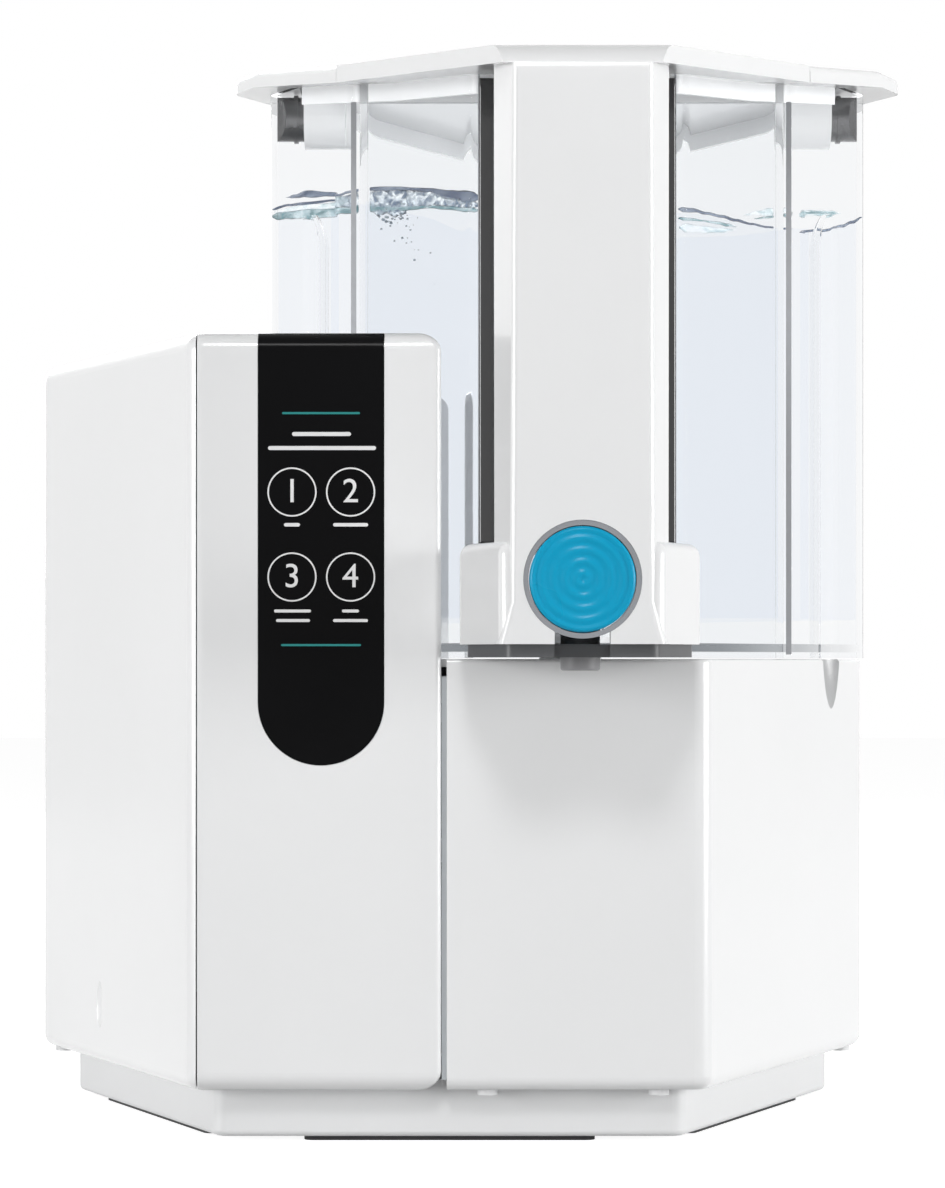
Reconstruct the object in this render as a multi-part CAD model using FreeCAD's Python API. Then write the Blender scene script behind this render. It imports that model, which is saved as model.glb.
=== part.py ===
import FreeCAD, Part
import math
import os

os.makedirs("parts", exist_ok=True)

Vector = FreeCAD.Vector

# Countertop water purifier, millimetres. X to the right, Y to the back, Z up.
# The unit is laid out about the middle of its base, and moved at the end so
# that the origin is the bottom centre of the whole unit.

# Base unit outline: a hexagon with slanted sides, the same at front and back
body_front_half = 80.75
body_end_half = 142.8
body_half_depth = 142.0
body_bottom = 17.0
deck_height = 152.0
tower_height = 254.0
housing_wall = 2.5
housing_corner = 6.5
tower_inner_corner = 2.0
tower_valley_corner = 6.0
tower_top_round = 5.6
housing_bottom_round = 4.5
cover_bottom_round = 6.0
deck_edge_round = 1.2

# Plinth pan and feet
plinth_inset = 11.3
pan_floor = 2.5
pan_wall = 2.5
pan_flange = 2.2
pan_bottom_round = 2.0
foot_height = 1.6
foot_recess = 0.8
foot_width = 9.0
foot_margin = 4.0
front_foot_half = 46.0
side_foot_half = 52.0

# Tanks: one hexagon split by a seam across it
tank_x = 40.0
tank_front_half = 34.0
tank_end_half = 104.0
tank_corner = 5.0
tank_wall = 2.8
tank_floor = 2.7
tank_skirt = 2.0
tank_seam_from_front = 80.0
tank_seam_gap = 0.8
tank_stand_gap = 0.3
tower_gap = 6.5

# Lids: front part slopes down to the front, rear flap is level
lid_top = 354.5
lid_slope = 0.102
lid_seam_drop = 8.87
lid_thickness = 5.5
lid_front_reach = 66.0
lid_front_half = 23.6
lid_end_half = 116.3
lid_rear_reach = 13.0
lid_rear_half = 43.0
lid_corner = 8.0
lid_front_corner = 2.0
lid_edge_round = 2.6
lid_seam_from_front = 55.0
wing_gap = 0.8
wing_side_gap = 1.6
wing_rear_gap = 1.3
wing_chamfer = 5.0
wing_bond = 0.05
lip_depth = 6.0
lip_wall = 2.0
lip_clearance = 0.3

# Fill flap hinge
pivot_below_lid = 14.2
pivot_radius = 7.7
pivot_flange_radius = 8.4
pivot_flange_width = 1.4
pivot_flange_at = 93.2
pivot_inner_end = 85.0
pivot_dome = 3.0
pivot_running_gap = 0.08
ear_radius = 10.4
ear_inner = 76.5
ear_outer = 90.9
hinge_nose_radius = 18.4
hinge_rear_edge = -17.6
hinge_nose_half = 91.3
flap_side_start = 17.6

# Handle column and dispenser block, in front of the clean tank
column_front_half = 20.5
column_rear_half = 27.0
column_depth = 21.0
column_lean = 4.0
column_foot_half = 24.5
column_flare_lift = 17.0
column_top_round = 9.0
column_edge_round = 2.2
block_lift = 4.4
block_over_button = 11.4
block_half = 36.5
block_shoulder_reach = 30.0
block_front_half = 24.0
block_edge_round = 4.0
block_wall = 2.6
grip_arch_radius = 16.0

# Grip liner on the front of the clean tank
liner_half = 30.6
liner_thickness = 1.8
liner_top_gap = 1.5

# Dispense button and its valve
button_lift = 23.6
button_radius = 15.75
button_gap = 0.25
button_length = 12.0
button_proud = 0.8
button_dome = 1.2
button_travel = 5.0
bezel_radius = 17.6
bezel_depth = 3.0

# Dispense valve behind the button
plunger_radius = 2.5
plunger_gap = 0.06
poppet_radius = 8.5
poppet_thickness = 3.0
valve_seat_radius = 6.0
valve_body_radius = 10.5
valve_body_reach = 28.0
valve_bore_radius = 7.0
valve_flange_radius = 14.0
valve_flange_thickness = 2.5
spring_radius = 4.6
spring_wire = 0.45
spring_turns = 5
nozzle_reach = 34.0
nozzle_radius = 6.0
nozzle_bore = 3.8
nozzle_below_deck = 3.5
nozzle_top_drop = 12.6
valve_floor_drop = 13.6
notch_half = 8.3
notch_top_drop = 14.4
notch_depth = 13.0

# Filter cover and display stripe
cover_depth = 12.0
cover_proud = 0.8
cover_gap = 0.5
cover_left_x = -78.6
stripe_half = 19.65
stripe_centre_height = 138.5
stripe_thickness = 1.2
stripe_gap = 0.12
peg_radius = 2.9
peg_left_inset = 26.6
peg_right_inset = 21.0
peg_gap = 0.1
peg_length = 16.0
catch_height = 15.0
catch_width = 12.0
catch_depth = 12.0

# Filter bay: manifold at the bottom and three canisters
divider_thickness = 2.0
manifold_bottom = 22.0
manifold_height = 20.0
canister_top_gap = 29.0
membrane_radius = 25.0
side_canister_radius = 15.5
membrane_from_front = 74.0
side_canister_from_front = 21.0
canister_wall_gap = 1.2
canister_neck_radius = 8.0
canister_neck_gap = 0.08
seal_running_gap = 0.04
canister_neck_length = 15.0
canister_lift = 6.4
lug_radius = 12.6
lug_thickness = 2.4
keeper_gap = 0.5
seal_wire = 1.1

# Finger flutes in the sides of the rear tank
flute_y = -30.0
flute_half_width = 8.8
flute_depth = 4.4
flute_top = 304.0
flute_tip_drop = 16.0
flute_arch = 16.0

# Rear service panel
panel_half = 60.0
panel_bottom = 30.0
panel_top_gap = 12.0
panel_thickness = 2.5
panel_gap = 0.3
panel_corner = 5.0
louvre_length = 44.0
louvre_height = 3.0
louvre_pitch = 8.0
louvre_spread = 26.0
louvre_top_gap = 14.0
louvre_above_inlet = 26.0
inlet_x = 40.0
inlet_above_panel = 22.0
switch_x = 10.0
inlet_width = 24.0
inlet_tall = 14.0
inlet_depth = 18.0
inlet_socket_width = 19.5
inlet_socket_tall = 9.0
inlet_socket_depth = 13.0
switch_width = 15.0
switch_tall = 20.0
switch_angle = 12.0

# Pump, solenoid and boards in the lower right of the housing
pump_y = -42.0
pump_height = 50.0
motor_radius = 29.0
motor_start_x = 34.0
motor_length = 60.0
shaft_radius = 2.5
shaft_gap = 0.05
head_radius = 31.0
head_length = 46.0
head_wall = 5.0
bracket_thickness = 2.5
solenoid_x = 6.0
solenoid_y = 70.0
solenoid_height = 34.0
solenoid_plunger_radius = 4.0
board_from_rear = 30.0
board_width = 92.0
board_tall = 70.0
board_above_inlet = 6.0
board_thickness = 1.6
tube_radius = 3.2
tube_bend = 11.0

# Docks in the deck and check valves in the tank floors
tap_dock_y = 44.0
clean_dock_from_front = 46.0
dock_radius = 15.0
dock_wall = 2.0
dock_flange = 3.5
dock_drop = 24.0
dock_floor_gap = 5.0
dock_port_radius = 5.0
dock_port_bore = 3.22
valve_nose_radius = 9.0
valve_nose_drop = 13.0
valve_bore = 6.0
valve_seat_hole = 3.6
valve_seat_drop = 4.0
valve_seat_thickness = 2.5
check_disc_radius = 5.2
check_disc_thickness = 2.6
check_stem_radius = 1.2
check_spring_radius = 2.6
check_spring_wire = 0.3
check_spring_turns = 2.5

# Screws
screw_radius = 1.6
screw_head_radius = 3.2
screw_head_height = 2.0
boss_radius = 4.6

# Heights and depths that follow from the values above
front_y = -body_half_depth
rear_y = body_half_depth
tank_seam_y = front_y + tank_seam_from_front
lid_front_y = front_y - lid_front_reach
lid_rear_y = rear_y + lid_rear_reach
lid_seam_y = front_y + lid_seam_from_front
pivot_height = lid_top - pivot_below_lid
button_height = deck_height + button_lift
block_bottom = deck_height + block_lift
block_top = button_height + block_over_button
block_shoulder_y = front_y - block_shoulder_reach
column_flare_height = deck_height + column_flare_lift
valve_body_front_y = front_y - valve_body_reach
nozzle_y = front_y - nozzle_reach
nozzle_bottom = deck_height - nozzle_below_deck
nozzle_top = button_height - nozzle_top_drop
valve_floor = button_height - valve_floor_drop
notch_top = button_height - notch_top_drop
canister_top = tower_height - canister_top_gap
membrane_y = front_y + membrane_from_front
side_canister_y = front_y + side_canister_from_front
flute_tip = deck_height - flute_tip_drop
panel_top = deck_height - panel_top_gap
inlet_height = panel_bottom + inlet_above_panel
louvre_top = panel_top - louvre_top_gap
louvre_count = int((louvre_top - inlet_height - louvre_above_inlet) / louvre_pitch) + 1
board_y = rear_y - board_from_rear
board_bottom = inlet_height + board_above_inlet
clean_dock_y = front_y + clean_dock_from_front
dock_bottom = deck_height - dock_drop
valve_nose_bottom = deck_height - valve_nose_drop
valve_seat_low = deck_height - valve_seat_drop
valve_seat_high = valve_seat_low + valve_seat_thickness


def outline_polygon(points, radii, height):
    # closed wire through the points, each corner replaced by a tangent arc
    count = len(points)
    if not isinstance(radii, (list, tuple)):
        radii = [radii] * count
    corners = []
    for index in range(count):
        here = Vector(points[index][0], points[index][1], height)
        before = Vector(points[index - 1][0], points[index - 1][1], height)
        after_point = points[(index + 1) % count]
        after = Vector(after_point[0], after_point[1], height)
        radius = radii[index]
        if radius <= 0:
            corners.append((here, None, here))
            continue
        to_before = (before - here).normalize()
        to_after = (after - here).normalize()
        half_angle = to_before.getAngle(to_after) / 2
        reach = radius / math.tan(half_angle)
        middle_way = (to_before + to_after).normalize()
        centre = here + middle_way * (radius / math.sin(half_angle))
        middle = centre - middle_way * radius
        corners.append((here + to_before * reach, middle, here + to_after * reach))
    edges = []
    for index in range(count):
        start, middle, end = corners[index]
        if middle is not None:
            edges.append(Part.Arc(start, middle, end).toShape())
        next_start = corners[(index + 1) % count][0]
        if end.distanceToPoint(next_start) > 1e-6:
            edges.append(Part.LineSegment(end, next_start).toShape())
    return Part.Wire(edges)


def prism(points, radii, low, high):
    wire = outline_polygon(points, radii, low)
    return Part.Face(wire).extrude(Vector(0, 0, high - low))


def inset(points, distance):
    # the outline moved inward by a distance; points run anticlockwise
    moved = []
    count = len(points)
    for index in range(count):
        x0, y0 = points[index - 1]
        x1, y1 = points[index]
        x2, y2 = points[(index + 1) % count]
        length_a = math.hypot(x1 - x0, y1 - y0)
        length_b = math.hypot(x2 - x1, y2 - y1)
        ax, ay = -(y1 - y0) / length_a, (x1 - x0) / length_a
        bx, by = -(y2 - y1) / length_b, (x2 - x1) / length_b
        scale = distance / (1 + ax * bx + ay * by)
        moved.append((x1 + (ax + bx) * scale, y1 + (ay + by) * scale))
    return moved


def box(x_low, x_high, y_low, y_high, z_low, z_high):
    size = (x_high - x_low, y_high - y_low, z_high - z_low)
    return Part.makeBox(*size, Vector(x_low, y_low, z_low))


def upright(radius, x, y, low, high):
    return Part.makeCylinder(radius, high - low, Vector(x, y, low))


def along_y(radius, x, z, y_low, y_high):
    return Part.makeCylinder(radius, y_high - y_low, Vector(x, y_low, z), Vector(0, 1, 0))


def along_x(radius, y, z, x_low, x_high):
    return Part.makeCylinder(radius, x_high - x_low, Vector(x_low, y, z), Vector(1, 0, 0))


def joined(shapes):
    whole = shapes[0]
    if len(shapes) > 1:
        whole = whole.fuse(shapes[1:])
    return whole.removeSplitter()


def group(shapes):
    return Part.makeCompound(shapes)


def edges_where(shape, test):
    chosen = []
    for edge in shape.Edges:
        if test(edge.BoundBox):
            chosen.append(edge)
    return chosen


def flat_at(height):
    # test for edges that lie in the level plane at a height
    return lambda b: abs(b.ZMin - height) < 1e-4 and abs(b.ZMax - height) < 1e-4


def tube(points, radius, bend):
    # round tube along straight runs joined by tangent arcs
    edges = []
    start = Vector(*points[0])
    for index in range(1, len(points) - 1):
        here = Vector(*points[index])
        to_before = (Vector(*points[index - 1]) - here).normalize()
        to_after = (Vector(*points[index + 1]) - here).normalize()
        half_angle = to_before.getAngle(to_after) / 2
        reach = bend / math.tan(half_angle)
        middle_way = (to_before + to_after).normalize()
        centre = here + middle_way * (bend / math.sin(half_angle))
        arc_start = here + to_before * reach
        arc_end = here + to_after * reach
        edges.append(Part.LineSegment(start, arc_start).toShape())
        edges.append(Part.Arc(arc_start, centre - middle_way * bend, arc_end).toShape())
        start = arc_end
    edges.append(Part.LineSegment(start, Vector(*points[-1])).toShape())
    path = Part.Wire(edges)
    direction = Vector(*points[1]) - Vector(*points[0])
    section = Part.Wire(Part.makeCircle(radius, Vector(*points[0]), direction))
    return path.makePipeShell([section], True, False)


def coil(radius, wire, turns, length, start, axis):
    # open spring: a helix of round wire along an axis
    helix = Part.makeHelix(length / turns, length, radius)
    section = Part.Wire(Part.makeCircle(wire, Vector(radius, 0, 0), Vector(0, 1, 0)))
    spring = Part.Wire(helix.Edges).makePipeShell([section], True, True)
    spring.Placement = FreeCAD.Placement(start, FreeCAD.Rotation(Vector(0, 0, 1), axis))
    return spring


# Outlines seen from above, anticlockwise
body_outline = [
    (-body_front_half, -body_half_depth),
    (body_front_half, -body_half_depth),
    (body_end_half, 0),
    (body_front_half, body_half_depth),
    (-body_front_half, body_half_depth),
    (-body_end_half, 0),
]

tank_slant = (tank_end_half - tank_front_half) / body_half_depth
tank_left_x = tank_x - tank_end_half
tower_valley_x = tank_left_x - tower_gap * math.sqrt(1 + tank_slant ** 2)
tower_right_x = tower_valley_x + tank_slant * body_half_depth
tower_outline = [
    (-body_front_half, -body_half_depth),
    (tower_right_x, -body_half_depth),
    (tower_valley_x, 0),
    (tower_right_x, body_half_depth),
    (-body_front_half, body_half_depth),
    (-body_end_half, 0),
]


def tank_half_at(y):
    return tank_end_half - tank_slant * abs(y)


clean_back_y = tank_seam_y - tank_seam_gap / 2
tap_front_y = tank_seam_y + tank_seam_gap / 2
clean_outline = [
    (tank_x - tank_front_half, -body_half_depth),
    (tank_x + tank_front_half, -body_half_depth),
    (tank_x + tank_half_at(clean_back_y), clean_back_y),
    (tank_x - tank_half_at(clean_back_y), clean_back_y),
]
tap_outline = [
    (tank_x - tank_half_at(tap_front_y), tap_front_y),
    (tank_x + tank_half_at(tap_front_y), tap_front_y),
    (tank_x + tank_end_half, 0),
    (tank_x + tank_front_half, body_half_depth),
    (tank_x - tank_front_half, body_half_depth),
    (tank_x - tank_end_half, 0),
]
tanks_outline = [
    clean_outline[0],
    clean_outline[1],
    tap_outline[2],
    tap_outline[3],
    tap_outline[4],
    tap_outline[5],
]
lid_outline = [
    (tank_x - lid_front_half, lid_front_y),
    (tank_x + lid_front_half, lid_front_y),
    (tank_x + lid_end_half, 0),
    (tank_x + lid_rear_half, lid_rear_y),
    (tank_x - lid_rear_half, lid_rear_y),
    (tank_x - lid_end_half, 0),
]
lid_corners = [lid_front_corner, lid_front_corner, lid_corner, lid_corner, lid_corner, lid_corner]


def smaller(radii, distance):
    return [max(radius - distance, 0.4) for radius in radii]


body_corners = [housing_corner] * 6
tower_corners = [
    housing_corner,
    tower_inner_corner,
    tower_valley_corner,
    tower_inner_corner,
    housing_corner,
    housing_corner,
]


def tower_prism(depth, low):
    # the tall left part, its faces moved inward by depth
    corners = smaller(tower_corners, depth)
    corners[1] = tower_inner_corner
    corners[2] = tower_valley_corner + depth
    corners[3] = tower_inner_corner
    return prism(inset(tower_outline, depth), corners, low, tower_height - depth)


def tower_solid(depth, low):
    solid = tower_prism(depth, low)
    rounding = tower_top_round - depth
    return solid.makeFillet(rounding, edges_where(solid, flat_at(tower_height - depth)))


def lower_solid(depth, low, high):
    return prism(inset(body_outline, depth), smaller(body_corners, depth), low, high)


def flute_cutter(x_side, extra):
    # upright torpedo that hollows the slanted side; extra grows it by a wall
    slant = math.atan(tank_slant)
    radius = (flute_half_width ** 2 + flute_depth ** 2) / (2 * flute_depth)
    away = radius - flute_depth
    wall_x = tank_half_at(flute_y)
    centre_x = tank_x + x_side * (wall_x + away * math.cos(slant))
    centre_y = flute_y - away * math.sin(slant)
    tip_low = flute_tip - extra
    arch_high = flute_top + extra
    full = radius + extra
    arch_start = flute_top - flute_arch
    tip_start = deck_height + 2
    profile = Part.Wire([
        Part.LineSegment(Vector(0, 0, arch_high + 8), Vector(0, 0, tip_low - 14)).toShape(),
        Part.LineSegment(Vector(0, 0, tip_low - 14), Vector(away, 0, tip_low)).toShape(),
        Part.Arc(
            Vector(away, 0, tip_low),
            Vector(away + (full - away) * 0.68, 0, (tip_low + tip_start) / 2),
            Vector(full, 0, tip_start),
        ).toShape(),
        Part.LineSegment(Vector(full, 0, tip_start), Vector(full, 0, arch_start)).toShape(),
        Part.Arc(
            Vector(full, 0, arch_start),
            Vector(away + (full - away) * 0.72, 0, (arch_high + arch_start) / 2 + 2.5),
            Vector(away, 0, arch_high),
        ).toShape(),
        Part.LineSegment(Vector(away, 0, arch_high), Vector(0, 0, arch_high + 8)).toShape(),
    ])
    solid = Part.Face(profile).revolve(Vector(0, 0, 0), Vector(0, 0, 1), 360)
    solid.translate(Vector(centre_x, centre_y, 0))
    return solid


def lid_top_at(y):
    # level behind the hinge line, steeper down to the front plate's seam
    if y > hinge_rear_edge:
        return lid_top
    if y > lid_seam_y:
        return lid_top - lid_seam_drop * (hinge_rear_edge - y) / (hinge_rear_edge - lid_seam_y)
    return lid_top - lid_seam_drop - lid_slope * (lid_seam_y - y)


def above_lid(offset):
    # everything above the lids' top surface moved down by offset
    far = 400
    line = []
    for y in (-far, lid_seam_y, hinge_rear_edge, far):
        line.append(Vector(-far, y, lid_top_at(y) - offset))
    line.append(Vector(-far, far, far + lid_top))
    line.append(Vector(-far, -far, far + lid_top))
    line.append(line[0])
    return Part.Face(Part.makePolygon(line)).extrude(Vector(2 * far, 0, 0))


lid_solid = prism(lid_outline, lid_corners, lid_top - 60, lid_top + 5)
lid_solid = lid_solid.common(above_lid(lid_thickness)).cut(above_lid(0))
deck_low = deck_height + tank_stand_gap
made = {}


def add(name, shape):
    made[name] = shape


# Filter cover: the front of the tower, with its top and bottom edges
cover_back_y = -body_half_depth + cover_depth


def cover_solid(depth, low):
    # the tower's own form with rounded edges at top and bottom
    solid = tower_solid(depth, low)
    rounding = cover_bottom_round - depth
    return solid.makeFillet(rounding, edges_where(solid, flat_at(low)))


cover_room = box(cover_left_x, body_front_half, -body_half_depth - 5, cover_back_y, 0, 400)
cover_outside = cover_solid(0, body_bottom)
cover_skin = cover_outside.cut(tower_prism(housing_wall, body_bottom + housing_wall))
cover = cover_skin.common(cover_room)
stripe_x = (cover_left_x + tower_right_x) / 2


def stripe_prism(gap):
    # straight band down the cover, with a round lower end
    half = stripe_half + gap
    y_low = -body_half_depth - 5
    y_high = cover_back_y - 2 + gap
    band = box(stripe_x - half, stripe_x + half, y_low, y_high, stripe_centre_height, 400)
    end = along_y(half, stripe_x, stripe_centre_height, y_low, y_high)
    return band.fuse(end).removeSplitter()


stripe_skin = cover_outside.cut(cover_solid(stripe_thickness, body_bottom + stripe_thickness))
pocket_skin = cover_outside.cut(
    cover_solid(stripe_thickness + stripe_gap / 2, body_bottom + stripe_thickness)
)
display_lens = stripe_skin.common(stripe_prism(0))
cover = cover.cut(pocket_skin.common(stripe_prism(stripe_gap)))
peg_x = [cover_left_x + peg_left_inset, tower_right_x - peg_right_inset]
peg_z = [manifold_bottom + manifold_height / 2, tower_height - housing_wall - catch_height / 2]
peg_seat_y = -body_half_depth + housing_wall
pegs = []
peg_bores = []
for x in peg_x:
    for z in peg_z:
        peg = along_y(peg_radius, x, z, peg_seat_y, peg_seat_y + peg_length)
        foot = along_y(peg_radius + 2, x, z, peg_seat_y, peg_seat_y + 1.5)
        pegs.append(peg.fuse(foot).removeSplitter())
        peg_bores.append(along_y(peg_radius + peg_gap, x, z, peg_seat_y, peg_seat_y + peg_length + 3))
cover = joined([cover] + pegs)
add("filter_cover", cover.translated(Vector(0, -cover_proud, 0)))
add("graphic_strip", display_lens.translated(Vector(0, -cover_proud, 0)))

# Housing shell: low hexagon and tall left tower in one moulding
low_part = lower_solid(0, body_bottom, deck_height)
low_part = low_part.makeFillet(housing_bottom_round, edges_where(low_part, flat_at(body_bottom)))
low_part = low_part.makeFillet(deck_edge_round, edges_where(low_part, flat_at(deck_height)))
tall_part = tower_solid(0, deck_height - 20)
housing = low_part.fuse(tall_part)
hollow_low = lower_solid(housing_wall, body_bottom - 1, deck_height - housing_wall)
tower_hollow_top = tower_height - housing_wall
hollow_corners = smaller(tower_corners, housing_wall)
hollow_corners[2] = tower_valley_corner + housing_wall
hollow_tall = prism(
    inset(tower_outline, housing_wall), hollow_corners, deck_height - 30, tower_hollow_top
)
flute_keep = flute_cutter(1, housing_wall)
hollow = hollow_low.cut(flute_keep).fuse(hollow_tall)
housing = housing.cut(hollow).cut(flute_cutter(1, 0))
front_bay_hole = box(
    cover_left_x - cover_gap, tower_right_x + cover_gap,
    -body_half_depth - 5, cover_back_y + cover_gap,
    0, 400,
)
housing = housing.cut(front_bay_hole)

# Deck plate under the tanks
deck_outline = inset(tanks_outline, 4.0)
deck_cut = prism(deck_outline, 4.0, deck_height - housing_wall - 1, deck_height + 1)
deck_cut = deck_cut.cut(flute_cutter(1, housing_wall + 1)).cut(flute_cutter(-1, housing_wall + 1))
housing = housing.cut(deck_cut)
deck = prism(inset(tanks_outline, 4.25), 4.0, deck_height - housing_wall, deck_height)
deck = deck.cut(flute_cutter(1, housing_wall + 1.3)).cut(flute_cutter(-1, housing_wall + 1.3))
deck_ledge = prism(inset(tanks_outline, 2.6), 4.0, deck_height - 2 * housing_wall, deck_height - housing_wall)
deck_ledge = deck_ledge.common(lower_solid(housing_wall + 0.2, body_bottom, deck_height))
deck_ledge = deck_ledge.cut(prism(inset(tanks_outline, 9.0), 4.0, 0, 400))
deck_ledge = deck_ledge.cut(flute_cutter(1, housing_wall + 0.3)).cut(flute_cutter(-1, housing_wall + 0.3))
deck_plate = joined([deck, deck_ledge])

add("housing_shell", housing)
add("deck_plate", deck_plate)

# Tanks
rim_gap = 0.2


def tank_shell(outline):
    outside = prism(outline, tank_corner, deck_low, lid_top)
    inside = prism(
        inset(outline, tank_wall), tank_corner - tank_wall + 0.6,
        deck_low + tank_skirt + tank_floor, lid_top + 5,
    )
    under = prism(
        inset(outline, tank_wall), tank_corner - tank_wall + 0.6,
        deck_low - 1, deck_low + tank_skirt,
    )
    return outside, inside, under


tap_outside, tap_inside, tap_under = tank_shell(tap_outline)
for side in (1, -1):
    tap_outside = tap_outside.cut(flute_cutter(side, 0))
    tap_inside = tap_inside.cut(flute_cutter(side, tank_wall))
    tap_under = tap_under.cut(flute_cutter(side, tank_wall))
tap_tank = tap_outside.cut(tap_inside).cut(tap_under).cut(above_lid(lid_thickness + rim_gap))
clean_outside, clean_inside, clean_under = tank_shell(clean_outline)
clean_tank = clean_outside.cut(clean_inside).cut(clean_under)
clean_tank = clean_tank.cut(above_lid(lid_thickness + rim_gap))

# Lids: front frame plate, fixed part behind it with its two wings, rear flap
clean_zone = prism(
    [
        (tank_x - 200, lid_front_y - 5),
        (tank_x + 200, lid_front_y - 5),
        (tank_x + 200, lid_seam_y - wing_gap),
        (tank_x - 200, lid_seam_y - wing_gap),
    ],
    0, 0, 500,
)
clean_column = prism(clean_outline, tank_corner, 0, 500)
clean_column = clean_column.common(box(-300, 300, lid_seam_y - 5, clean_back_y, 0, 500))
front_plate = lid_solid.common(clean_zone.fuse(clean_column))
wing_cut = prism(inset(clean_outline, -wing_side_gap), tank_corner, 0, 500)
wing_root_y = clean_back_y + wing_rear_gap
wing_cut = wing_cut.common(box(-300, 300, -300, wing_root_y, 0, 500))
tap_zone = box(-300, 300, lid_seam_y, hinge_rear_edge, 0, 500).cut(wing_cut)
wing_tip_half = tank_half_at(lid_seam_y) + wing_side_gap
for side in (1, -1):
    tip_x = tank_x + side * wing_tip_half
    tip_cut = prism(
        [
            (tip_x - side * wing_chamfer, lid_seam_y - 1),
            (tip_x + side * wing_chamfer, lid_seam_y - 1),
            (tip_x + side * wing_chamfer / 2, lid_seam_y + wing_chamfer + 1),
            (tip_x - side * wing_chamfer, lid_seam_y + wing_chamfer + 1),
        ],
        0, 0, 500,
    )
    tap_zone = tap_zone.cut(tip_cut)
fixed_plate = lid_solid.common(tap_zone)

# Ends of the fixed plate that reach back beside the flap's hinge, rounded about its axis
side_sweep_radius = math.hypot(flap_side_start, pivot_below_lid)
side_sweep = along_x(side_sweep_radius, 0, pivot_height, -300, 400)
side_keep = along_x(side_sweep_radius - wing_gap, 0, pivot_height, -300, 400)
plate_ends = []
for side in (1, -1):
    near_x = tank_x + side * (hinge_nose_half + wing_gap)
    far_x = tank_x + side * lid_end_half
    low_x, high_x = min(near_x, far_x), max(near_x, far_x)
    round_end = box(low_x, high_x, 0, side_sweep_radius, 0, 500).common(side_keep)
    plate_end = lid_solid.common(box(low_x, high_x, hinge_rear_edge, 1, 0, 500).fuse(round_end).removeSplitter())
    plate_end = Part.makeSolid(plate_end.Shells[0])
    plate_ends.append(plate_end.makeFillet(
        lid_edge_round,
        edges_where(
            plate_end,
            lambda b: flat_at(lid_top)(b) and b.YLength > 1 and abs(b.Center.x - tank_x) > lid_end_half - 10,
        ),
    ))
nose_low_x = tank_x - hinge_nose_half
nose_high_x = tank_x + hinge_nose_half
nose = along_x(hinge_nose_radius, 0, pivot_height, nose_low_x, nose_high_x)
flap_zone = box(-300, 400, flap_side_start, 400, 0, 500).cut(side_sweep)
flap_zone = flap_zone.fuse([
    box(nose_low_x, nose_high_x, 0, flap_side_start + 1, 0, 500),
    nose.common(box(nose_low_x, nose_high_x, -100, 1, 0, 500)),
])
level_slab = box(-300, 400, -60, 300, lid_top - lid_thickness, lid_top)
flap_plate = prism(lid_outline, lid_corners, 0, 500).common(level_slab).common(flap_zone)


def lip_ring(outline, y_limit_low, y_limit_high, top_clear):
    # locating lip under a lid, just inside the tank's wall
    outside = prism(inset(outline, tank_wall + lip_clearance), tank_corner - tank_wall, 0, 500)
    inside_corner = max(tank_corner - tank_wall - lip_wall, 1)
    inside = prism(inset(outline, tank_wall + lip_clearance + lip_wall), inside_corner, 0, 500)
    ring = outside.cut(inside)
    band = above_lid(lid_thickness + lip_depth).cut(above_lid(lid_thickness - top_clear))
    return ring.common(band).common(box(-300, 300, y_limit_low, y_limit_high, 0, 500))


# Handle frame: front lid plate, handle column and dispenser block in one piece
def column_section(front_half, rear_half, front_y, rear_y, height):
    points = [
        (tank_x - front_half, front_y),
        (tank_x + front_half, front_y),
        (tank_x + rear_half, rear_y),
        (tank_x - rear_half, rear_y),
    ]
    return outline_polygon(points, column_edge_round, height)


column_front_y = lid_front_y
column_rear_y = lid_front_y + column_depth
block_front_y = lid_front_y + column_lean
column = Part.makeLoft(
    [
        column_section(
            column_front_half + 0.5, column_rear_half, block_front_y, column_rear_y, column_flare_height
        ),
        column_section(
            column_front_half, column_rear_half, column_front_y, column_rear_y,
            lid_top_at(lid_front_y) - column_top_round,
        ),
    ],
    True, True,
)
column_head = Part.Face(
    column_section(
        column_front_half, column_rear_half, column_front_y, column_rear_y,
        lid_top_at(lid_front_y) - column_top_round,
    )
).extrude(Vector(0, 0, column_top_round + 8)).cut(above_lid(0))
column_foot = Part.makeLoft(
    [
        column_section(
            column_foot_half, column_rear_half + 2, block_front_y, column_rear_y, block_bottom
        ),
        column_section(
            column_front_half + 0.5, column_rear_half, block_front_y, column_rear_y, column_flare_height
        ),
    ],
    True, True,
)
block_back_y = -body_half_depth - rim_gap
block_outline = [
    (tank_x - block_front_half, block_front_y + 0.8),
    (tank_x + block_front_half, block_front_y + 0.8),
    (tank_x + block_half, block_shoulder_y),
    (tank_x + block_half, block_back_y),
    (tank_x - block_half, block_back_y),
    (tank_x - block_half, block_shoulder_y),
]
block = prism(block_outline, [4.0, 4.0, 6.0, 1.0, 1.0, 6.0], block_bottom, block_top)
block = block.makeFillet(
    block_edge_round,
    edges_where(block, lambda b: flat_at(block_top)(b) and b.YMin < block_back_y - 2),
)
block_room = prism(
    inset(block_outline, block_wall), 2.5, block_bottom - 1, block_top - block_wall
)

# the arch fills the corner between the column and the lid plate
arch_low = lid_top_at(column_rear_y) - lid_thickness - grip_arch_radius
arch_block = box(
    tank_x - column_front_half, tank_x + column_front_half,
    column_rear_y - 0.5, column_rear_y + grip_arch_radius,
    arch_low, lid_top,
)
arch_hollow = along_x(
    grip_arch_radius, column_rear_y + grip_arch_radius, arch_low,
    tank_x - 2 * column_rear_half, tank_x + 2 * column_rear_half,
)
arch = arch_block.cut(arch_hollow).cut(above_lid(lid_thickness / 2))

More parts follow.
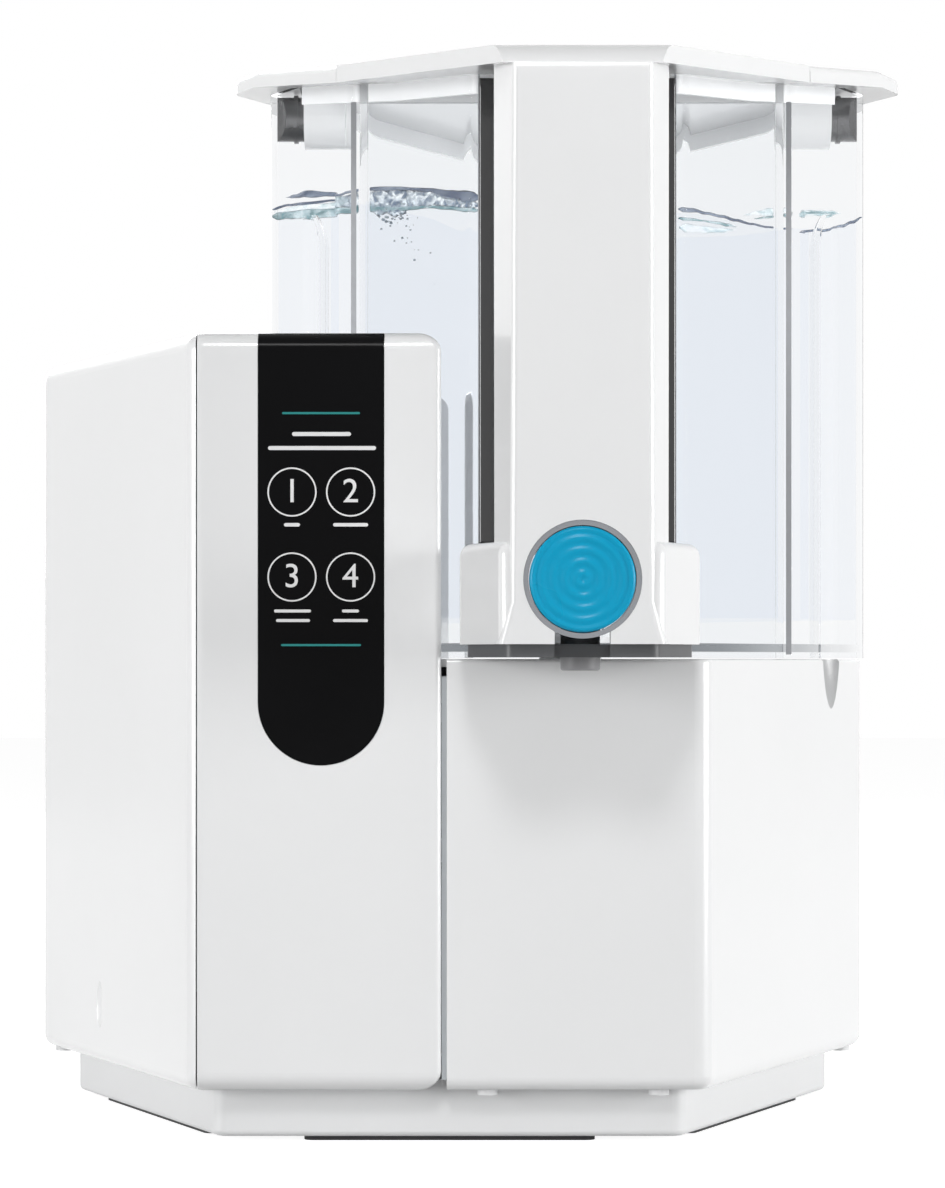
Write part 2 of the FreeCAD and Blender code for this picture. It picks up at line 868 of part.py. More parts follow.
top_bevel_room = box(
    tank_x - 60, tank_x + 60,
    lid_front_y - 1, lid_front_y + column_top_round,
    lid_top_at(lid_front_y) - column_top_round, lid_top,
)
bevel_keep = along_x(
    column_top_round, lid_front_y + column_top_round,
    lid_top_at(lid_front_y) - column_top_round + 0.9, tank_x - 70, tank_x + 70,
)
top_bevel = top_bevel_room.cut(bevel_keep)

hatch_front_half = 29.0
hatch_rear_half = 50.0
hatch_front_y = front_y + 11.0
hatch_rear_y = lid_seam_y - 1.0
hatch_outline = [
    (tank_x - hatch_front_half, hatch_front_y),
    (tank_x + hatch_front_half, hatch_front_y),
    (tank_x + hatch_rear_half, hatch_rear_y),
    (tank_x - hatch_rear_half, hatch_rear_y),
]
hatch_gap = 0.3
hatch_rebate = 2.6
hatch_ledge = 4.0
hatch_cut = prism(hatch_outline, 6.0, 0, 500)
hatch_hole = prism(inset(hatch_outline, hatch_ledge), 4.0, 0, 500)
button_room = along_y(
    button_radius + button_gap, tank_x, button_height, lid_front_y - 5, valve_body_front_y - 4
)
spout_notch = box(
    tank_x - notch_half, tank_x + notch_half,
    lid_front_y - 2, block_front_y + notch_depth,
    block_bottom - 1, notch_top,
)
frame_parts = [front_plate, column, column_head, column_foot, block, arch]
handle_frame = joined(frame_parts).cut(top_bevel)
handle_frame = handle_frame.fuse(
    lip_ring(clean_outline, -body_half_depth, clean_back_y, 0.5)
).removeSplitter()
rebate = hatch_cut.common(above_lid(hatch_rebate))
handle_frame = handle_frame.cut(rebate).cut(hatch_hole.common(box(-300, 300, -300, 0, 250, 500)))
inner_room = block_room.common(
    box(-300, 300, column_rear_y - 6, block_back_y + 0.1, 0, 500)
)
back_open = box(
    tank_x - block_half + block_wall, tank_x + block_half - block_wall,
    block_back_y - 3, block_back_y + 2, block_bottom - 1, block_top - block_wall,
)
handle_frame = handle_frame.cut(inner_room.fuse(back_open)).cut(spout_notch)
bezel_room = along_y(bezel_radius, tank_x, button_height, lid_front_y - 5, block_front_y + bezel_depth)
handle_frame = handle_frame.cut(button_room).cut(bezel_room)
spout_way = upright(nozzle_radius + 0.3, tank_x, nozzle_y, block_bottom - 1, nozzle_top + 3)
handle_frame = handle_frame.cut(spout_way)

button_bezel = along_y(
    bezel_radius - 0.05, tank_x, button_height, block_front_y + 0.4, block_front_y + bezel_depth
).cut(along_y(button_radius + button_gap, tank_x, button_height, -300, 0))
add("handle_frame", handle_frame)
add("button_bezel", button_bezel)

# Lift-out hatch in the front lid
hatch_plate = prism(inset(hatch_outline, hatch_gap), 5.8, 0, 500)
hatch_plate = hatch_plate.common(above_lid(hatch_rebate)).cut(above_lid(0))
hatch_plug = prism(inset(hatch_outline, hatch_ledge + hatch_gap), 3.8, 0, 500)
hatch_plug_hollow = prism(inset(hatch_outline, hatch_ledge + hatch_gap + 2), 2.4, 0, 500)
hatch_plug = hatch_plug.cut(hatch_plug_hollow)
hatch_plug = hatch_plug.common(above_lid(lid_thickness + 2)).cut(above_lid(hatch_rebate - 0.5))
hatch_tab_y = hatch_front_y + 5.0
hatch_tab = along_x(4.0, hatch_tab_y, lid_top_at(hatch_tab_y) + 1.6, tank_x - 10, tank_x + 10)
clean_hatch = joined([hatch_plate, hatch_plug]).cut(hatch_tab)
add("clean_hatch", clean_hatch)

# Tap tank's fixed top part, flap, hinge pins
tap_top = fixed_plate.fuse(
    lip_ring(tap_outline, tap_front_y, hinge_rear_edge - 1.5, 0.5)
).removeSplitter()
tap_top = tap_top.makeFillet(
    lid_edge_round,
    edges_where(
        tap_top,
        lambda b: abs(b.YMax - hinge_rear_edge) < 0.01
        and b.YLength > 50
        and abs(b.ZMax - lid_top) < 0.02
        and abs(b.Center.x - tank_x) > tank_end_half - 20,
    ),
)
tap_top = tap_top.fuse(plate_ends).removeSplitter()

# The two wings are solids of their own, bonded to the plate behind them by a thin layer
plate_part = tap_top.common(box(-300, 300, wing_root_y, 300, 0, 500))
wing_part = tap_top.common(box(-300, 300, -300, wing_root_y - wing_bond, 0, 500))
add("tap_tank_top", group(plate_part.Solids + wing_part.Solids))

pins = []
ears = []
for side in (1, -1):
    outer_x = tank_x + side * (tank_end_half + 5)
    inner_x = tank_x + side * pivot_inner_end
    low_x, high_x = min(outer_x, inner_x), max(outer_x, inner_x)
    pin = along_x(pivot_radius, 0, pivot_height, low_x, high_x)
    pin = pin.makeFillet(
        pivot_dome, edges_where(pin, lambda b: abs(b.XMin - inner_x) < 0.01 and abs(b.XMax - inner_x) < 0.01)
    )
    flange_x = tank_x + side * pivot_flange_at
    flange = along_x(
        pivot_flange_radius, 0, pivot_height,
        min(flange_x, flange_x + side * pivot_flange_width),
        max(flange_x, flange_x + side * pivot_flange_width),
    )
    whole = pin.fuse(flange).common(tap_inside)
    pins.append(whole.removeSplitter())
    ear_low = min(tank_x + side * ear_inner, tank_x + side * ear_outer)
    ear_high = max(tank_x + side * ear_inner, tank_x + side * ear_outer)
    hub = along_x(ear_radius, 0, pivot_height, ear_low, ear_high)
    web = box(ear_low, ear_high, -ear_radius, ear_radius, pivot_height, lid_top - lid_thickness + 0.5)
    hub = hub.fuse(web).cut(box(-300, 400, -100, 100, lid_top - 1, 500))
    bore_low = min(inner_x - side * 1.5, outer_x)
    bore_high = max(inner_x - side * 1.5, outer_x)
    bore = along_x(pivot_radius + pivot_running_gap, 0, pivot_height, bore_low, bore_high)
    ears.append(hub.cut(bore))
add("pivot_pins", group(pins))

flap_plate = flap_plate.removeSplitter()
flap_plate = flap_plate.makeFillet(
    lid_edge_round,
    edges_where(flap_plate, lambda b: flat_at(lid_top)(b) and b.YMax > flap_side_start + 0.01 and b.YMin > 1),
)
flap_lip_front = 24.0
flap_lip = lip_ring(tap_outline, flap_lip_front, 300, 0.5)
fill_flap = joined([flap_plate] + ears + [flap_lip])
finger_scoop = along_x(7.0, lid_rear_y + 1.0, lid_top - lid_thickness - 2.0, tank_x - 16, tank_x + 16)
fill_flap = fill_flap.cut(finger_scoop)
add("fill_flap", fill_flap)

# Dispense valve: flanged body on the tank's front wall, spout turned down
valve_low_y = valve_body_front_y
wall_front_y = -body_half_depth
wall_back_y = wall_front_y + tank_wall
valve_barrel = along_y(valve_body_radius, tank_x, button_height, valve_low_y, wall_front_y - 0.1)
valve_flange_back_y = wall_front_y - 0.1
valve_flange = along_y(
    valve_flange_radius, tank_x, button_height,
    valve_flange_back_y - valve_flange_thickness, valve_flange_back_y,
)
valve_room = box(tank_x - 40, tank_x + 40, -300, 0, valve_floor, block_top - block_wall - 0.4)
valve_flange = valve_flange.common(valve_room)
valve_barrel = valve_barrel.common(valve_room)
valve_spigot = along_y(valve_seat_radius + 2, tank_x, button_height, wall_front_y - 1, wall_back_y + 2)
nozzle_neck_top = button_height - plunger_radius - 1.2
nozzle_elbow = box(tank_x - 4.5, tank_x + 4.5, nozzle_y, valve_low_y + 2, nozzle_top + 0.6, nozzle_neck_top)
nozzle_stub = upright(nozzle_radius - 0.4, tank_x, nozzle_y, nozzle_top, nozzle_neck_top)
valve_front = valve_low_y + 3
valve_body = joined([valve_barrel, valve_flange, valve_spigot, nozzle_stub, nozzle_elbow])
valve_body = valve_body.cut(
    along_y(valve_bore_radius, tank_x, button_height, valve_front, wall_front_y - 3)
)
valve_body = valve_body.cut(
    along_y(valve_seat_radius, tank_x, button_height, wall_front_y - 4, wall_back_y + 3)
)
valve_body = valve_body.cut(
    along_y(plunger_radius + plunger_gap, tank_x, button_height, lid_front_y, wall_front_y - 4)
)
valve_drop = upright(nozzle_bore - 0.6, tank_x, nozzle_y, nozzle_top - 1, nozzle_neck_top - 1.6)
valve_body = valve_body.cut(valve_drop)
valve_body = valve_body.cut(
    along_y(1.6, tank_x, nozzle_neck_top - 3.0, nozzle_y, valve_front + 3)
)
button_back_y = block_front_y - button_proud + button_length
button_swept_y = button_back_y + button_travel + 1.5
valve_body = valve_body.cut(box(tank_x - 40, tank_x + 40, -300, button_swept_y, 100, 300))
add("dispense_valve", valve_body)
clean_tank = clean_tank.cut(
    along_y(valve_seat_radius + 2.05, tank_x, button_height, wall_front_y - 5, wall_back_y + 5)
)

# Button, its rod and the poppet on the wet side of the wall
button_front_y = block_front_y - button_proud
button = along_y(button_radius, tank_x, button_height, button_front_y, button_back_y)
button = button.makeFillet(
    button_dome,
    edges_where(button, lambda b: b.YMax < button_front_y + 0.01),
)
button = button.cut(
    along_y(button_radius - 2.2, tank_x, button_height, button_front_y + 2.4, button_back_y + 1)
)
button_hub = along_y(5.5, tank_x, button_height, button_front_y + 2, button_back_y - 3)
button = button.fuse(button_hub).removeSplitter()
button = button.cut(along_y(plunger_radius, tank_x, button_height, button_front_y + 4, button_back_y + 1))
add("dispense_button", button)
poppet_y = wall_back_y + 2.2
rod = along_y(plunger_radius, tank_x, button_height, button_front_y + 4, poppet_y + 1)
poppet = along_y(poppet_radius, tank_x, button_height, poppet_y, poppet_y + poppet_thickness)
poppet = poppet.makeFillet(
    0.8, edges_where(poppet, lambda b: b.YMin > poppet_y + poppet_thickness - 0.01)
)
add("dispense_plunger", rod.fuse(poppet).removeSplitter())
spring_low = button_back_y - 2.8
spring_high = button_back_y + button_travel + 1.3
dispense_spring = coil(
    spring_radius, spring_wire, spring_turns, spring_high - spring_low - 2 * spring_wire,
    Vector(tank_x, spring_low + spring_wire, button_height), Vector(0, 1, 0),
)
add("dispense_spring", dispense_spring)

# Dark underside of the block and the spout nozzle
base_outline = inset(block_outline, 2.4)
base_low = deck_height + 0.5
dispenser_base = prism(base_outline, [3.0, 3.0, 4.0, 0.8, 0.8, 4.0], base_low, block_bottom)
dispenser_base = dispenser_base.cut(upright(nozzle_radius + 0.1, tank_x, nozzle_y, 100, 200))
dispenser_base = dispenser_base.cut(
    box(tank_x - notch_half, tank_x + notch_half, -300, block_front_y + notch_depth - 3, 100, 200)
)
add("dispenser_base", dispenser_base)
nozzle = upright(nozzle_radius, tank_x, nozzle_y, nozzle_bottom, nozzle_top)
nozzle = nozzle.makeFillet(0.8, edges_where(nozzle, flat_at(nozzle_bottom)))
nozzle = nozzle.cut(upright(nozzle_bore, tank_x, nozzle_y, 100, 200))
add("spout_nozzle", nozzle)

# Grip liner on the tank's front wall
liner_low = block_top + 1.0
liner_high = lid_top_at(-body_half_depth) - lid_thickness - liner_top_gap
liner = box(
    tank_x - liner_half, tank_x + liner_half,
    wall_front_y - liner_thickness, wall_front_y, liner_low, liner_high,
)
liner = liner.makeFillet(
    0.7, edges_where(liner, lambda b: abs(b.YMin - b.YMax) < 0.01 and b.YMin < wall_front_y - 1)
)
add("grip_liner", liner)


def check_valve(x, y, opens_up, floor_top):
    # body with a seat, spring cage on the side that opens, and its poppet
    body = upright(valve_nose_radius, x, y, valve_nose_bottom, floor_top + 3.5)
    flange = upright(valve_nose_radius + 4, x, y, floor_top, floor_top + 2)
    body = body.fuse(flange).removeSplitter()
    cage_low = valve_nose_bottom if not opens_up else floor_top + 2.1
    cage_high = cage_low + 1.4
    body = body.cut(upright(valve_bore, x, y, valve_nose_bottom - 1, floor_top + 5))
    seat = upright(valve_bore + 0.5, x, y, valve_seat_low, valve_seat_high)
    seat = seat.cut(upright(valve_seat_hole, x, y, valve_seat_low - 1, valve_seat_high + 1))
    cage = upright(valve_bore + 0.5, x, y, cage_low, cage_high)
    cage = cage.cut(upright(check_stem_radius + 0.1, x, y, cage_low - 1, cage_high + 1))
    for turn in range(4):
        angle = math.radians(45 + 90 * turn)
        cage = cage.cut(
            upright(1.4, x + 3.7 * math.cos(angle), y + 3.7 * math.sin(angle), cage_low - 1, cage_high + 1)
        )
    body = joined([body, seat, cage])
    if opens_up:
        disc_low = valve_seat_high + 0.1
        stem_low, stem_high = disc_low, cage_high + 1.0
        spring_span = (disc_low + check_disc_thickness + 0.3, cage_low - 0.3)
    else:
        disc_low = valve_seat_low - 0.1 - check_disc_thickness
        stem_low, stem_high = cage_low - 1.0, disc_low + 1
        spring_span = (cage_high + 0.3, disc_low - 0.3)
    disc = upright(check_disc_radius, x, y, disc_low, disc_low + check_disc_thickness)
    stem = upright(check_stem_radius, x, y, stem_low, stem_high)
    poppet = disc.fuse(stem).removeSplitter()
    spring = coil(
        check_spring_radius, check_spring_wire, check_spring_turns,
        spring_span[1] - spring_span[0] - 2 * check_spring_wire,
        Vector(x, y, spring_span[0] + check_spring_wire), Vector(0, 0, 1),
    )
    groove_z = valve_seat_low - 3.4
    seal = Part.makeTorus(valve_nose_radius, seal_wire, Vector(x, y, groove_z), Vector(0, 0, 1))
    body = body.cut(Part.makeTorus(valve_nose_radius, seal_wire, Vector(x, y, groove_z), Vector(0, 0, 1)))
    return body, poppet, spring, seal


tank_floor_top = deck_low + tank_skirt + tank_floor
tap_valve, tap_poppet, tap_spring, tap_seal = check_valve(tank_x, tap_dock_y, False, tank_floor_top)
clean_valve, clean_poppet, clean_spring, clean_seal = check_valve(tank_x, clean_dock_y, True, tank_floor_top)
floor_hole_tap = upright(valve_nose_radius + 0.02, tank_x, tap_dock_y, 100, tank_floor_top + 1)
floor_hole_clean = upright(valve_nose_radius + 0.02, tank_x, clean_dock_y, 100, tank_floor_top + 1)
add("tap_tank", tap_tank.cut(floor_hole_tap))
add("clean_tank", clean_tank.cut(floor_hole_clean))
add("tap_outlet_valve", tap_valve)
add("tap_outlet_poppet", tap_poppet)
add("tap_outlet_spring", tap_spring)
add("tap_outlet_seal", tap_seal)
add("clean_inlet_valve", clean_valve)
add("clean_inlet_poppet", clean_poppet)
add("clean_inlet_spring", clean_spring)
add("clean_inlet_seal", clean_seal)

strainer_low = tank_floor_top + 2.0
strainer = upright(15.0, tank_x, tap_dock_y, strainer_low, strainer_low + 14)
strainer = strainer.makeFillet(3.0, edges_where(strainer, flat_at(strainer_low + 14)))
strainer = strainer.cut(upright(13.6, tank_x, tap_dock_y, strainer_low - 1, strainer_low + 12.4))
slot_count = 16
for turn in range(slot_count):
    slot = box(10, 20, -0.9, 0.9, strainer_low + 2, strainer_low + 10)
    slot.rotate(Vector(0, 0, 0), Vector(0, 0, 1), 360 * turn / slot_count)
    slot.translate(Vector(tank_x, tap_dock_y, 0))
    strainer = strainer.cut(slot)
add("tap_strainer", strainer)


def dock(x, y):
    # cup under the deck that takes a tank's valve nose
    cup_top = deck_height - housing_wall
    cup = upright(dock_radius, x, y, dock_bottom, cup_top)
    rim = upright(dock_radius + dock_flange, x, y, cup_top - 2.0, cup_top)
    cup = cup.fuse(rim).removeSplitter()
    cup = cup.cut(upright(dock_radius - dock_wall, x, y, valve_seat_low - 1.5, 200))
    cup_radius = valve_nose_radius + seal_wire + 0.35
    cup = cup.cut(upright(cup_radius, x, y, valve_nose_bottom - dock_floor_gap, 200))
    cup = cup.cut(upright(dock_port_bore, x, y, dock_bottom - 1, 200))
    port = upright(dock_port_radius, x, y, dock_bottom - 12, dock_bottom + 1)
    port = port.cut(upright(dock_port_bore, x, y, dock_bottom - 14, dock_bottom + 2))
    return joined([cup, port])


tap_dock = dock(tank_x, tap_dock_y)
clean_dock = dock(tank_x, clean_dock_y)
deck_plate = made["deck_plate"]
for y in (tap_dock_y, clean_dock_y):
    deck_plate = deck_plate.cut(upright(dock_radius - dock_wall, tank_x, y, 100, 200))
made["deck_plate"] = deck_plate
add("tap_dock", tap_dock)
add("clean_dock", clean_dock)

# Plinth pan with its floor, wall and the flange that closes the housing
plinth_low = foot_height
plinth_high = body_bottom + 0.6
pan_outline = inset(body_outline, plinth_inset)
plinth = prism(pan_outline, 5.0, plinth_low, plinth_high)
plinth = plinth.makeFillet(pan_bottom_round, edges_where(plinth, flat_at(plinth_low)))
plinth = plinth.cut(prism(inset(pan_outline, pan_wall), 2.5, plinth_low + pan_floor, 100))
flange = prism(
    inset(body_outline, housing_wall + 0.3), housing_corner - housing_wall,
    plinth_high - 0.1, plinth_high + pan_flange,
)
flange = flange.cut(prism(inset(pan_outline, pan_wall), 2.5, 0, 100))
flange_cover_cut = box(
    cover_left_x - cover_gap - 0.5, tower_right_x + cover_gap + 0.5,
    -body_half_depth - 5, cover_back_y + cover_gap, plinth_high - 5, 100,
)
pan_keep = prism(pan_outline, 5.0, 0, 100)
base_pan = plinth.fuse(flange.cut(flange_cover_cut.cut(pan_keep))).removeSplitter()


def foot_strip(start, end, length):
    # rounded strip in the middle of one side of the plinth
    ax, ay = start
    bx, by = end
    side = math.hypot(bx - ax, by - ay)
    ux, uy = (bx - ax) / side, (by - ay) / side
    mx, my = (ax + bx) / 2, (ay + by) / 2
    half, wide = length / 2, foot_width / 2
    corners = [
        (mx - ux * half + uy * wide, my - uy * half - ux * wide),
        (mx + ux * half + uy * wide, my + uy * half - ux * wide),
        (mx + ux * half - uy * wide, my + uy * half + ux * wide),
        (mx - ux * half - uy * wide, my - uy * half + ux * wide),
    ]
    return corners


foot_line = inset(pan_outline, foot_margin + foot_width / 2)
feet = []
for index in range(6):
    start = foot_line[index]
    end = foot_line[(index + 1) % 6]
    length = 2 * front_foot_half if index in (0, 3) else 2 * side_foot_half
    strip = foot_strip(start, end, length)
    feet.append(prism(strip, 3.0, 0, foot_height + foot_recess))
    base_pan = base_pan.cut(prism(strip, 3.0, foot_height - 1, foot_height + foot_recess))
add("rubber_feet", group(feet))

# Screws up through the pan's flange into bosses of the housing
end_boss_x = body_end_half - (housing_wall + boss_radius - 0.3) * 1.0911
screw_places = [
    (body_front_half - 15, -body_half_depth + housing_wall + boss_radius - 0.3),
    (12.0, -body_half_depth + housing_wall + boss_radius - 0.3),
    (end_boss_x, 0),
    (body_front_half - 15, body_half_depth - housing_wall - boss_radius + 0.3),
    (-body_front_half + 15, body_half_depth - housing_wall - boss_radius + 0.3),
    (-end_boss_x, 0),
]
boss_low = plinth_high + pan_flange
screws = []
for x, y in screw_places:
    boss = upright(boss_radius, x, y, boss_low, boss_low + 34)
    housing = housing.fuse(boss)
for x, y in screw_places:
    housing = housing.cut(upright(screw_radius, x, y, boss_low - 1, boss_low + 16))
    base_pan = base_pan.cut(upright(screw_radius + 0.2, x, y, 0, 100))
    shank = upright(screw_radius, x, y, plinth_high - 0.2, boss_low + 15)
    head = upright(screw_head_radius, x, y, plinth_high - 0.1 - screw_head_height, plinth_high - 0.1)
    recess = Part.makeBox(3.6, 0.8, 1.1, Vector(x - 1.8, y - 0.4, plinth_high - 0.15 - screw_head_height))
    screws.append(joined([shank, head]).cut(recess))
housing = housing.removeSplitter()
for x, z in [(x, peg_z[1]) for x in peg_x]:
    catch = box(
        x - catch_width / 2, x + catch_width / 2,
        cover_back_y + cover_gap + 0.5, cover_back_y + cover_gap + 0.5 + catch_depth,
        z - catch_height / 2, tower_height - housing_wall + 0.5,
    )
    housing = housing.fuse(catch)
housing = housing.removeSplitter()
for bore in peg_bores:
    housing = housing.cut(bore)


body_slope = (body_end_half - body_front_half) / body_half_depth
body_wall_across = housing_wall * math.sqrt(1 + body_slope ** 2)


def body_half_at(y):
    return body_end_half - body_slope * abs(y)


def bay_left(y):
    return -body_half_at(y) + body_wall_across


def bay_right(y):
    return tower_valley_x + tank_slant * abs(y) - housing_wall * math.sqrt(1 + tank_slant ** 2)


# Bay liner: slanted divider below the deck and a cross wall behind the canisters
bay_back_y = -10.0
divider_front_y = cover_back_y + 2
divider = prism(
    [
        (bay_right(divider_front_y) - divider_thickness, divider_front_y),
        (bay_right(divider_front_y), divider_front_y),
        (bay_right(bay_back_y), bay_back_y),
        (bay_right(bay_back_y) - divider_thickness, bay_back_y),
    ],
    0, boss_low, deck_height - housing_wall - 3,
)
cross_wall = prism(
    [
        (bay_left(bay_back_y - divider_thickness) + 0.4, bay_back_y - divider_thickness),
        (bay_right(bay_back_y) - 0.4, bay_back_y - divider_thickness),
        (bay_right(bay_back_y) - 0.4, bay_back_y),
        (bay_left(bay_back_y) + 0.4, bay_back_y),
    ],
    0, boss_low, tower_height - housing_wall - 0.3,
)
bay_liner = joined([divider, cross_wall])
add("bay_liner", bay_liner)

# Manifold that feeds the three canisters
manifold_front_y = -body_half_depth + housing_wall + 2.5
manifold_back_y = membrane_y + membrane_radius - 4
manifold_top = manifold_bottom + manifold_height
manifold = prism(
    [
        (bay_left(manifold_front_y) + 1.6, manifold_front_y),
        (bay_right(manifold_front_y) - divider_thickness - 1.2, manifold_front_y),
        (bay_right(manifold_back_y) - divider_thickness - 1.2, manifold_back_y),
        (bay_left(manifold_back_y) + 1.6, manifold_back_y),
    ],
    3.0, manifold_bottom, manifold_top,
)
side_reach = side_canister_radius + canister_wall_gap
prefilter_x = bay_left(side_canister_y) + side_reach * math.sqrt(1 + body_slope ** 2)
carbon_x = bay_right(side_canister_y) - divider_thickness - side_reach * math.sqrt(1 + tank_slant ** 2)
side_middle_x = (prefilter_x + carbon_x) / 2
membrane_x = (bay_left(membrane_y) + bay_right(membrane_y) - divider_thickness) / 2
canisters = [
    ("prefilter", prefilter_x, side_canister_y, side_canister_radius),
    ("carbon", carbon_x, side_canister_y, side_canister_radius),
    ("membrane", membrane_x, membrane_y, membrane_radius),
]
for x, y in [
    (side_middle_x - 11.0, side_canister_y + 9.0), (side_middle_x + 11.0, side_canister_y + 9.0),
    (membrane_x - 15.0, membrane_y + 6.0), (membrane_x + 15.0, membrane_y + 6.0),
]:
    manifold = manifold.fuse(upright(4.0, x, y, foot_height + pan_floor, manifold_bottom + 1))
manifold = manifold.removeSplitter()
socket_low = manifold_top - canister_neck_length - 1.5
for name, x, y, radius in canisters:
    manifold = manifold.cut(
        upright(canister_neck_radius + canister_neck_gap, x, y, socket_low, manifold_top + 1)
    )
    for side in (1, -1):
        leg_in = lug_radius + keeper_gap
        leg = box(-4, 4, leg_in, leg_in + 2.2, manifold_top - 0.5, manifold_top + lug_thickness + 2.6)
        cap = box(
            -4, 4, lug_radius - 2.6, leg_in + 2.2,
            manifold_top + lug_thickness + 0.8, manifold_top + lug_thickness + 2.6,
        )
        keeper = leg.fuse(cap)
        keeper.rotate(Vector(0, 0, 0), Vector(0, 0, 1), 90 - 90 * side)
        keeper.translate(Vector(x, y, 0))
        manifold = manifold.fuse(keeper)
manifold = manifold.removeSplitter()
for bore in peg_bores:
    manifold = manifold.cut(bore)
add("filter_manifold", manifold)

for name, x, y, radius in canisters:
    low = manifold_top + canister_lift
    shell = upright(radius, x, y, low, canister_top)
    shell = shell.makeFillet(
        radius * 0.28, edges_where(shell, flat_at(canister_top))
    )
    shell = shell.makeFillet(2.5, edges_where(shell, flat_at(low)))
    neck = upright(canister_neck_radius, x, y, manifold_top - canister_neck_length, low + 1)
    waist = upright(canister_neck_radius + 1.4, x, y, manifold_top + 0.3, low + 1)
    lugs = []
    for side in (1, -1):
        lug = box(
            x - 3.4, x + 3.4,
            min(y, y + side * lug_radius), max(y, y + side * lug_radius),
            manifold_top + 0.3, manifold_top + 0.3 + lug_thickness,
        )
        lugs.append(lug.common(upright(lug_radius, x, y, 0, 200)))
    grip = box(x - radius * 0.72, x + radius * 0.72, y - 2.2, y + 2.2, canister_top - 4, canister_top + 9)
    grip = grip.common(upright(radius - 2, x, y, 0, 400))
    grip = grip.makeFillet(1.4, edges_where(grip, flat_at(canister_top + 9)))
    band = upright(radius + 0.4, x, y, low + 14, low + 17)
    canister = joined([shell, neck, waist, grip, band] + lugs)
    seals = []
    for level in (5.0, 10.0):
        centre = Vector(x, y, manifold_top - level)
        ring_radius = canister_neck_radius + canister_neck_gap - seal_running_gap - seal_wire
        ring = Part.makeTorus(ring_radius, seal_wire, centre, Vector(0, 0, 1))
        canister = canister.cut(ring)
        seals.append(ring)
    canister = canister.cut(upright(2.2, x, y, 0, low + 6))
    add(name + "_canister", canister)
    add(name + "_seals", group(seals))

# Pump: brushed motor on a bracket, its shaft turning an eccentric in the head
pan_floor_top = foot_height + pan_floor
motor_end_x = motor_start_x + motor_length
head_start_x = motor_start_x - head_length
motor_wall = 2.0
motor_can = along_x(motor_radius, pump_y, pump_height, motor_start_x + 0.1, motor_end_x)
motor_can = motor_can.makeFillet(
    3.0, edges_where(motor_can, lambda b: b.XMin > motor_end_x - 0.01 and b.ZLength > 50)
)
rotor_low = motor_start_x + 12.0
rotor_high = motor_end_x - 12.0
motor_can = motor_can.fuse(along_x(8.0, pump_y, pump_height, motor_end_x - 1, motor_end_x + 3))
motor_can = motor_can.cut(
    along_x(motor_radius - motor_wall, pump_y, pump_height, motor_start_x + 3, motor_end_x - 5)
)
motor_can = motor_can.cut(
    along_x(shaft_radius + shaft_gap, pump_y, pump_height, motor_start_x - 1, motor_end_x + 1.5)
)
add("motor_can", motor_can)
shaft_start_x = head_start_x + head_wall + 6
motor_shaft = along_x(shaft_radius, pump_y, pump_height, shaft_start_x, motor_end_x + 1.2)
rotor = along_x(18.0, pump_y, pump_height, rotor_low, rotor_high)
for index in range(8):
    slot = box(
        rotor_low - 1, rotor_high + 1, pump_y - 1.1, pump_y + 1.1, pump_height + 9, pump_height + 20,
    )
    slot.rotate(Vector(0, pump_y, pump_height), Vector(1, 0, 0), 45 * index)
    rotor = rotor.cut(slot)
eccentric = along_x(11.0, pump_y, pump_height + 2.5, shaft_start_x + 2, shaft_start_x + 16)
motor_shaft = joined([motor_shaft, rotor, eccentric])
add("motor_shaft", motor_shaft)

pump_head = along_x(head_radius, pump_y, pump_height, head_start_x, motor_start_x)
pump_head = pump_head.makeFillet(
    4.0, edges_where(pump_head, lambda b: b.XMax < head_start_x + 0.01 and b.ZLength > 50)
)
clamp_ring = along_x(head_radius + 1.5, pump_y, pump_height, head_start_x + 16, head_start_x + 20)
pump_head = pump_head.fuse(clamp_ring)
port_places = [(pump_y + 14, pump_height + 12), (pump_y - 14, pump_height + 12)]
port_end_x = head_start_x - 8
for y, z in port_places:
    pump_head = pump_head.fuse(along_x(5.2, y, z, port_end_x, head_start_x + 2))
pump_head = pump_head.cut(
    along_x(head_radius - head_wall, pump_y, pump_height, head_start_x + head_wall, motor_start_x - 4)
)
pump_head = pump_head.cut(
    along_x(shaft_radius + shaft_gap, pump_y, pump_height, motor_start_x - 5, motor_start_x + 1)
)
for y, z in port_places:
    pump_head = pump_head.cut(along_x(tube_radius + 0.02, y, z, port_end_x - 1, head_start_x - 1))
    pump_head = pump_head.cut(along_x(2.0, y, z, head_start_x - 2, head_start_x + head_wall + 1))
pump_head = pump_head.removeSplitter()
add("pump_head", pump_head)

mount_height = 8.0
bracket_low = pan_floor_top + mount_height
bracket = box(
    head_start_x + 4, motor_end_x - 12, pump_y - 30, pump_y + 30,
    bracket_low, bracket_low + bracket_thickness,
)
for x, radius in [(head_start_x + 24, head_radius), (motor_end_x - 16, motor_radius)]:
    cradle = box(x, x + bracket_thickness, pump_y - 28, pump_y + 28, bracket_low + 1, pump_height - 8)
    cradle = cradle.cut(along_x(radius + 0.05, pump_y, pump_height, x - 1, x + 5))
    bracket = bracket.fuse(cradle)
bracket = bracket.removeSplitter()
mounts = []
for x in (head_start_x + 12, motor_end_x - 24):
    for y in (pump_y - 22, pump_y + 22):
        mounts.append(upright(6.0, x, y, pan_floor_top, bracket_low))
        nub = upright(2.5, x, y, bracket_low - 1, bracket_low + bracket_thickness + 1.2)
        mounts[-1] = mounts[-1].fuse(nub)
        bracket = bracket.cut(upright(2.52, x, y, 0, 60))
add("pump_bracket", bracket)
add("pump_mounts", group(mounts))

